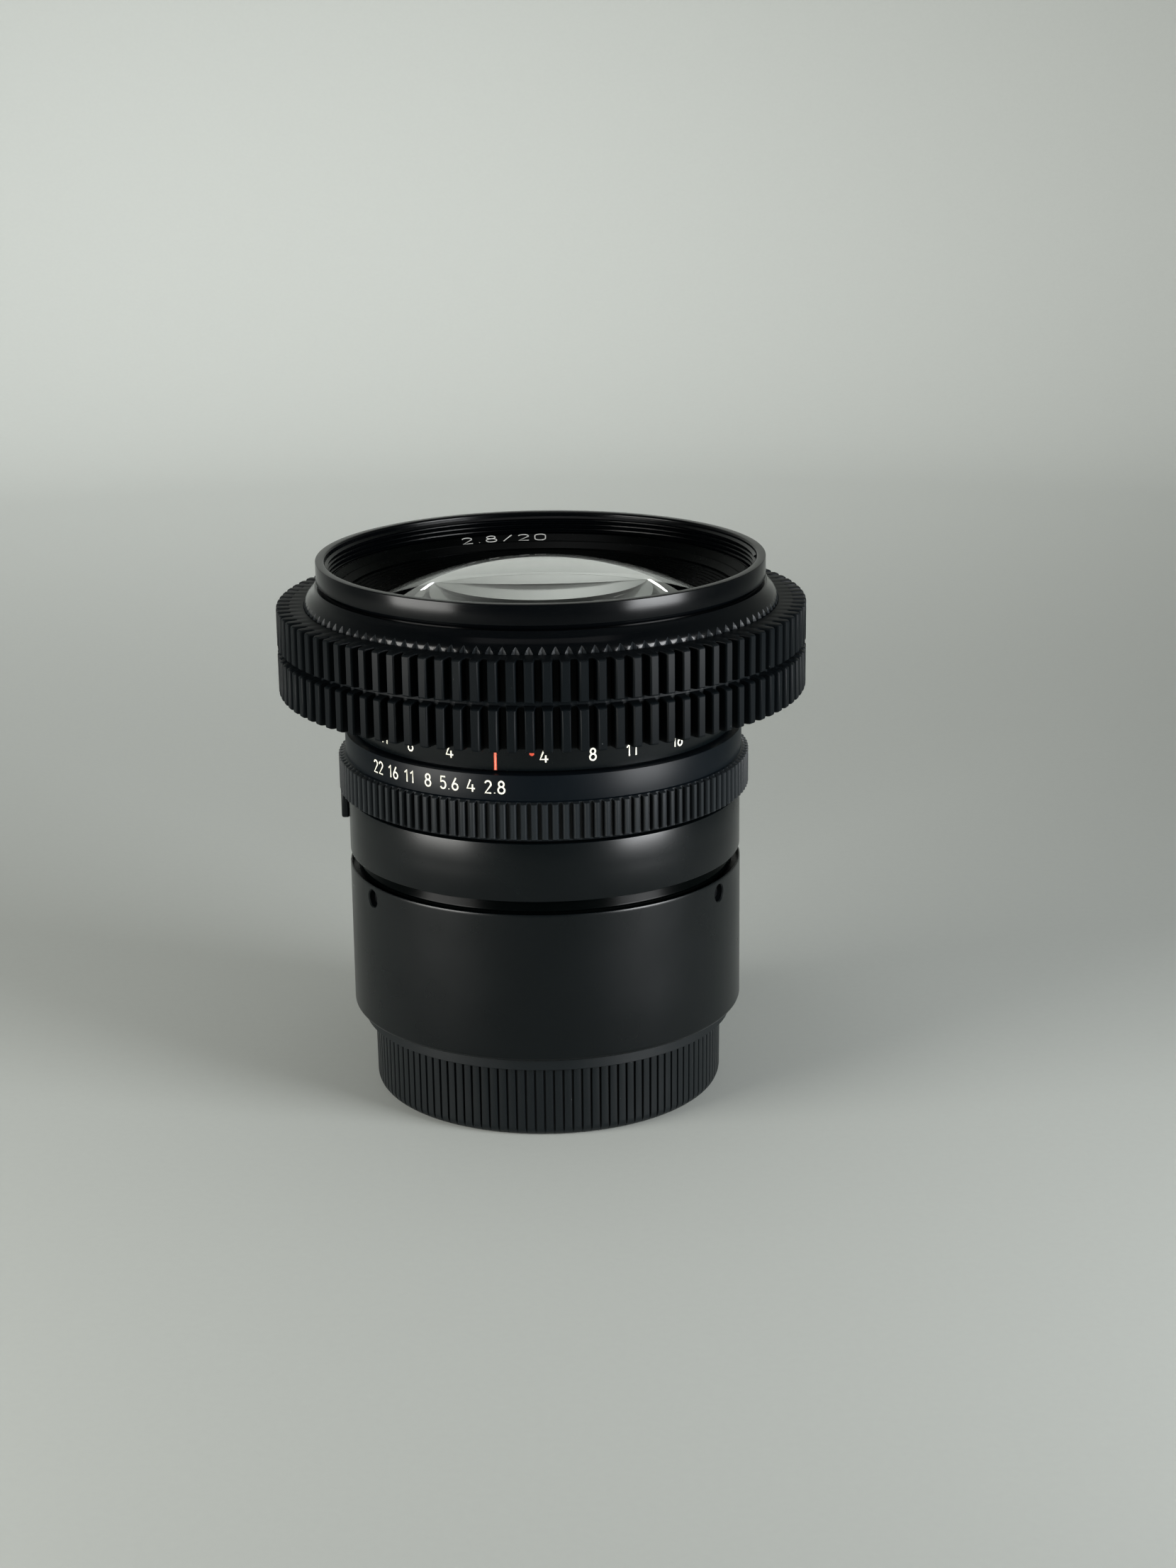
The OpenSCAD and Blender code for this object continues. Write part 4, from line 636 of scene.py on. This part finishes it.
def engraveFigures(name, words, place, body, fill):
    curve = bpy.data.curves.new(name, "CURVE")
    curve.dimensions = "3D"
    curve.bevel_depth = words[0]["stroke"] / 2 * mm
    curve.bevel_resolution = 2
    curve.use_fill_caps = True
    for index, word in enumerate(words):  # each word waits on its own metre of height until it is wrapped on
        text, tall, gap = word["text"], word["tall"], word["gap"]
        wide = tall * word["wide"]
        widths = [figureWide.get(c, usualWide) for c in text]
        x = -(sum(widths) + gap * (len(text) - 1)) * wide / 2
        for c, w in zip(text, widths):
            for points in figures[c]:
                spline = curve.splines.new("POLY")
                spline.points.add(len(points) - 1)
                for p, (px, py) in zip(spline.points, points):
                    p.co = ((x + px * wide) * mm, py * tall * mm, index, 1)
            x += (w + gap) * wide
    holder = bpy.data.objects.new(name + "_curve", curve)
    bpy.context.scene.collection.objects.link(holder)
    mesh = bpy.data.meshes.new_from_object(holder.evaluated_get(bpy.context.evaluated_depsgraph_get()))
    bpy.data.objects.remove(holder)
    bm = bmesh.new()
    bm.from_mesh(mesh)
    bpy.data.meshes.remove(mesh)
    for v in bm.verts:
        index = round(v.co.z)
        v.co = Vector(place(words[index], v.co.x / mm, v.co.y / mm, (v.co.z - index) / mm)) * mm
    bmesh.ops.remove_doubles(bm, verts=bm.verts[:], dist=weldGap / 10)
    finishPiece(name, bm, body, [fill], sharpAngle=60)


def onCylinder(word, x, y, lift):
    a = math.radians(word["at"] - 90) + x / word["radius"]
    r = word["radius"] + lift * word["flatten"]
    return (r * math.cos(a), r * math.sin(a), word["low"] + y)


def onNameBand(word, x, y, lift):
    a = math.radians(word["at"]) - x / word["radius"]
    out, up = word["slope"]
    proud = word["proud"] + lift * word["flatten"]
    r = word["radius"] + out * y - proud * up
    return (r * math.cos(a), r * math.sin(a), word["low"] + up * y + proud * out)


apertureScale = {"radius": apertureRing["band"], "low": 56.52, "tall": 1.86, "wide": 1.05, "gap": 0.17, "stroke": 0.25,
                 "flatten": 0.12}
apertureStops = {"2.8": -13.6, "4": -20.4, "5.6": -27.0, "8": -33.8, "11": -40.5, "16": -46.9, "22": -53.6}
engraveFigures("aperture_numerals", [dict(apertureScale, text=t, at=a) for t, a in apertureStops.items()],
               onCylinder, "aperture", whiteFill)

depthScale = {"radius": scaleBarrel["radius"], "low": 61.02, "tall": 1.78, "wide": 1.05, "gap": 0.17, "stroke": 0.25,
              "flatten": 0.12}
depthStops = {"4": 14.0, "8": 28.0, "11": 39.9, "16": 56.2, "22": 78.0}
depthIndex = -13.9
engraveFigures("depth_numerals", [dict(depthScale, text=t, at=depthIndex + side * a) for t, a in depthStops.items()
                                  for side in (-1, 1)], onCylinder, "barrel", whiteFill)

nameFigures = {"text": "2.8/20", "at": 101.0, "radius": 31.83, "low": 81.73, "tall": 1.1, "wide": 3.3, "gap": 0.22,
               "stroke": 0.15, "flatten": 0.1, "proud": 0.03, "slope": (0.664, 0.748)}
engraveFigures("name_band_numerals", [nameFigures], onNameBand, "lens_unit", greyFill)

indexMark = {"wide": 0.42, "proud": 0.02, "paleWide": 0.14, "paleProud": 0.03, "sunk": 0.1, "low": 59.75, "high": 66.2,
             "radius": scaleBarrel["radius"], "dotAt": -3.4, "dotLevel": 62.4, "dot": 0.36, "dotFlat": 0.1}


def indexStroke(bm, wide, proud):
    radius = indexMark["radius"]
    sweepBlock(bm, radius - indexMark["sunk"], radius + proud, indexMark["low"], indexMark["high"], depthIndex - 90,
               math.degrees(wide / radius), 3)


bm = bmesh.new()
indexStroke(bm, indexMark["paleWide"], indexMark["paleProud"])
finishPiece("index_mark_middle", bm, "barrel", [paleFill])
bm = bmesh.new()
indexStroke(bm, indexMark["wide"], indexMark["proud"])
bmesh.ops.create_uvsphere(bm, u_segments=20, v_segments=10, radius=indexMark["dot"] * mm,
                          matrix=Matrix.Rotation(math.radians(indexMark["dotAt"] - 90), 4, "Z")
                          @ Matrix.Translation((indexMark["radius"] * mm, 0, indexMark["dotLevel"] * mm))
                          @ Matrix.Diagonal((indexMark["dotFlat"], 1, 1, 1)))
finishPiece("index_mark", bm, "barrel", [redFill])
print("numerals made")


# the inner pieces keep their turned solids and get their own finishes
innerFinish = {
    steelFinish: ["bayonet_screws", "mount_screws", "stop_down_pin", "barrel_screws", "click_ball",
                  "click_spring", "cell_screws"],
    screwFinish: ["focus_set_screws"],
    brassFinish: ["mechanism_plate", "guide_keys", "helicoid_ring", "focus_retainer", "iris_drive_ring"],
    chromeFinish: ["adapter_bayonet"],
    bladeFinish: ["iris_blade_%d" % i for i in range(1, 7)],
    mattFinish: ["front_cell", "middle_cell", "rear_cell", "middle_retainer", "rear_spacer_upper",
                 "rear_spacer_lower", "rear_retainer", "lens_barrel", "iris_housing", "iris_cover"],
    barrelFinish: ["adapter_thread_ring"],
}
for finish, names in innerFinish.items():
    for nodeName in names:
        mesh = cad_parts[nodeName].data
        mesh.materials.clear()
        mesh.materials.append(finish)
print("inner pieces finished")


# the paper stands all round, so every view has a plain ground
cove = {"bend": 520, "radius": 220, "top": 1100, "steps": 96, "colour": "#a2a5a1", "fibre": 1.2}
# seamless paper: dull, very slightly fibrous
paper, tree, shader, coords = newMaterial("seamless_paper")
fibre = addNode(tree, "ShaderNodeTexNoise", {"Scale": 1 / (cove["fibre"] * mm), "Detail": 4.0}, {"Vector": coords})
tone = addNode(tree, "ShaderNodeValToRGB", links={"Fac": fibre.outputs["Fac"]})
tone.color_ramp.elements[0].color = hexColour(cove["colour"], 0.96)
tone.color_ramp.elements[1].color = hexColour(cove["colour"])
shader.inputs["Roughness"].default_value = 0.9
shader.inputs["Specular IOR Level"].default_value = 0.15
tree.links.new(tone.outputs["Color"], shader.inputs["Base Color"])
line = [(0.0, 0.0)] + arcPoints(cove["bend"], cove["radius"], cove["radius"], cove["radius"], -90, 0, 14)
line += [(cove["bend"] + cove["radius"], cove["top"])]
bm = bmesh.new()
turnProfile(bm, line, steps=cove["steps"], closed=False)
mesh = bpy.data.meshes.new("paper_cove")
bm.to_mesh(mesh)
bm.free()
mesh.materials.append(paper)
mesh.shade_smooth()
floor = bpy.data.objects.new("paper_cove", mesh)
bpy.context.scene.collection.objects.link(floor)


def softLight(name, place, aim, size, watts, spread, colour):
    lamp = bpy.data.lights.new(name, "AREA")
    lamp.shape = "RECTANGLE"
    lamp.size, lamp.size_y = (side * mm for side in size)
    lamp.energy = watts
    lamp.spread = math.radians(spread)
    lamp.color = hexColour(colour)[:3]
    obj = bpy.data.objects.new(name, lamp)
    obj.location = Vector(place) * mm
    obj.rotation_euler = (Vector(aim) * mm - obj.location).to_track_quat("-Z", "Y").to_euler()
    obj.visible_camera = False  # the lamps stand inside the ring of views
    bpy.context.scene.collection.objects.link(obj)


lamps = {
    "left_softbox": {"place": (-372, -215, 85), "aim": (0, 0, 50), "size": (260, 230), "watts": 4.0, "spread": 180,
                     "colour": "#fffefa"},
    "right_softbox": {"place": (361, -234, 85), "aim": (0, 0, 50), "size": (220, 230), "watts": 1.5, "spread": 90,
                      "colour": "#fbfdff"},
    "backdrop_wash": {"place": (-240, 130, 900), "aim": (-90, 640, 200), "size": (600, 500), "watts": 2.2, "spread": 70,
                      "colour": "#ffffff"},
    "ceiling_fill": {"place": (0, 0, 1600), "aim": (0, 0, 0), "size": (1400, 1400), "watts": 5.0, "spread": 180,
                     "colour": "#ffffff"},
}
for lampName, settings in lamps.items():
    softLight(lampName, **settings)
room = {"colour": "#c9cdca", "strength": 0.06}
world = bpy.data.worlds.new("room")
world.use_nodes = True
world.node_tree.nodes["Background"].inputs["Color"].default_value = hexColour(room["colour"])
world.node_tree.nodes["Background"].inputs["Strength"].default_value = room["strength"]
bpy.context.scene.world = world

# the camera was fitted to the rings in the photograph: focal length and long side in pixels, angles in degrees
view = {"focal": 4153.0, "long": 2212, "sensor": 36, "place": (0, -449.311, 182.018), "pitch": 16.525, "roll": -0.688,
        "yaw": -0.887, "near": 0.01, "far": 10}
camera = bpy.data.cameras.new("photo_camera")
camera.sensor_fit = "AUTO"
camera.sensor_width = view["sensor"]
camera.lens = view["focal"] * view["sensor"] / view["long"]
camera.clip_start, camera.clip_end = view["near"], view["far"]
cameraObject = bpy.data.objects.new("photo_camera", camera)
bpy.context.scene.collection.objects.link(cameraObject)
cameraObject.matrix_world = Matrix.Translation(Vector(view["place"]) * mm) \
    @ Matrix.Rotation(math.radians(view["yaw"]), 4, "Z") \
    @ Matrix.Rotation(math.radians(90 - view["pitch"]), 4, "X") \
    @ Matrix.Rotation(math.radians(view["roll"]), 4, "Z")
bpy.context.scene.camera = cameraObject
bpy.context.scene.cycles.glossy_bounces = 10  # light turns back several times in the front glass
bpy.context.scene.view_settings.view_transform = "Standard"
print("stage made")
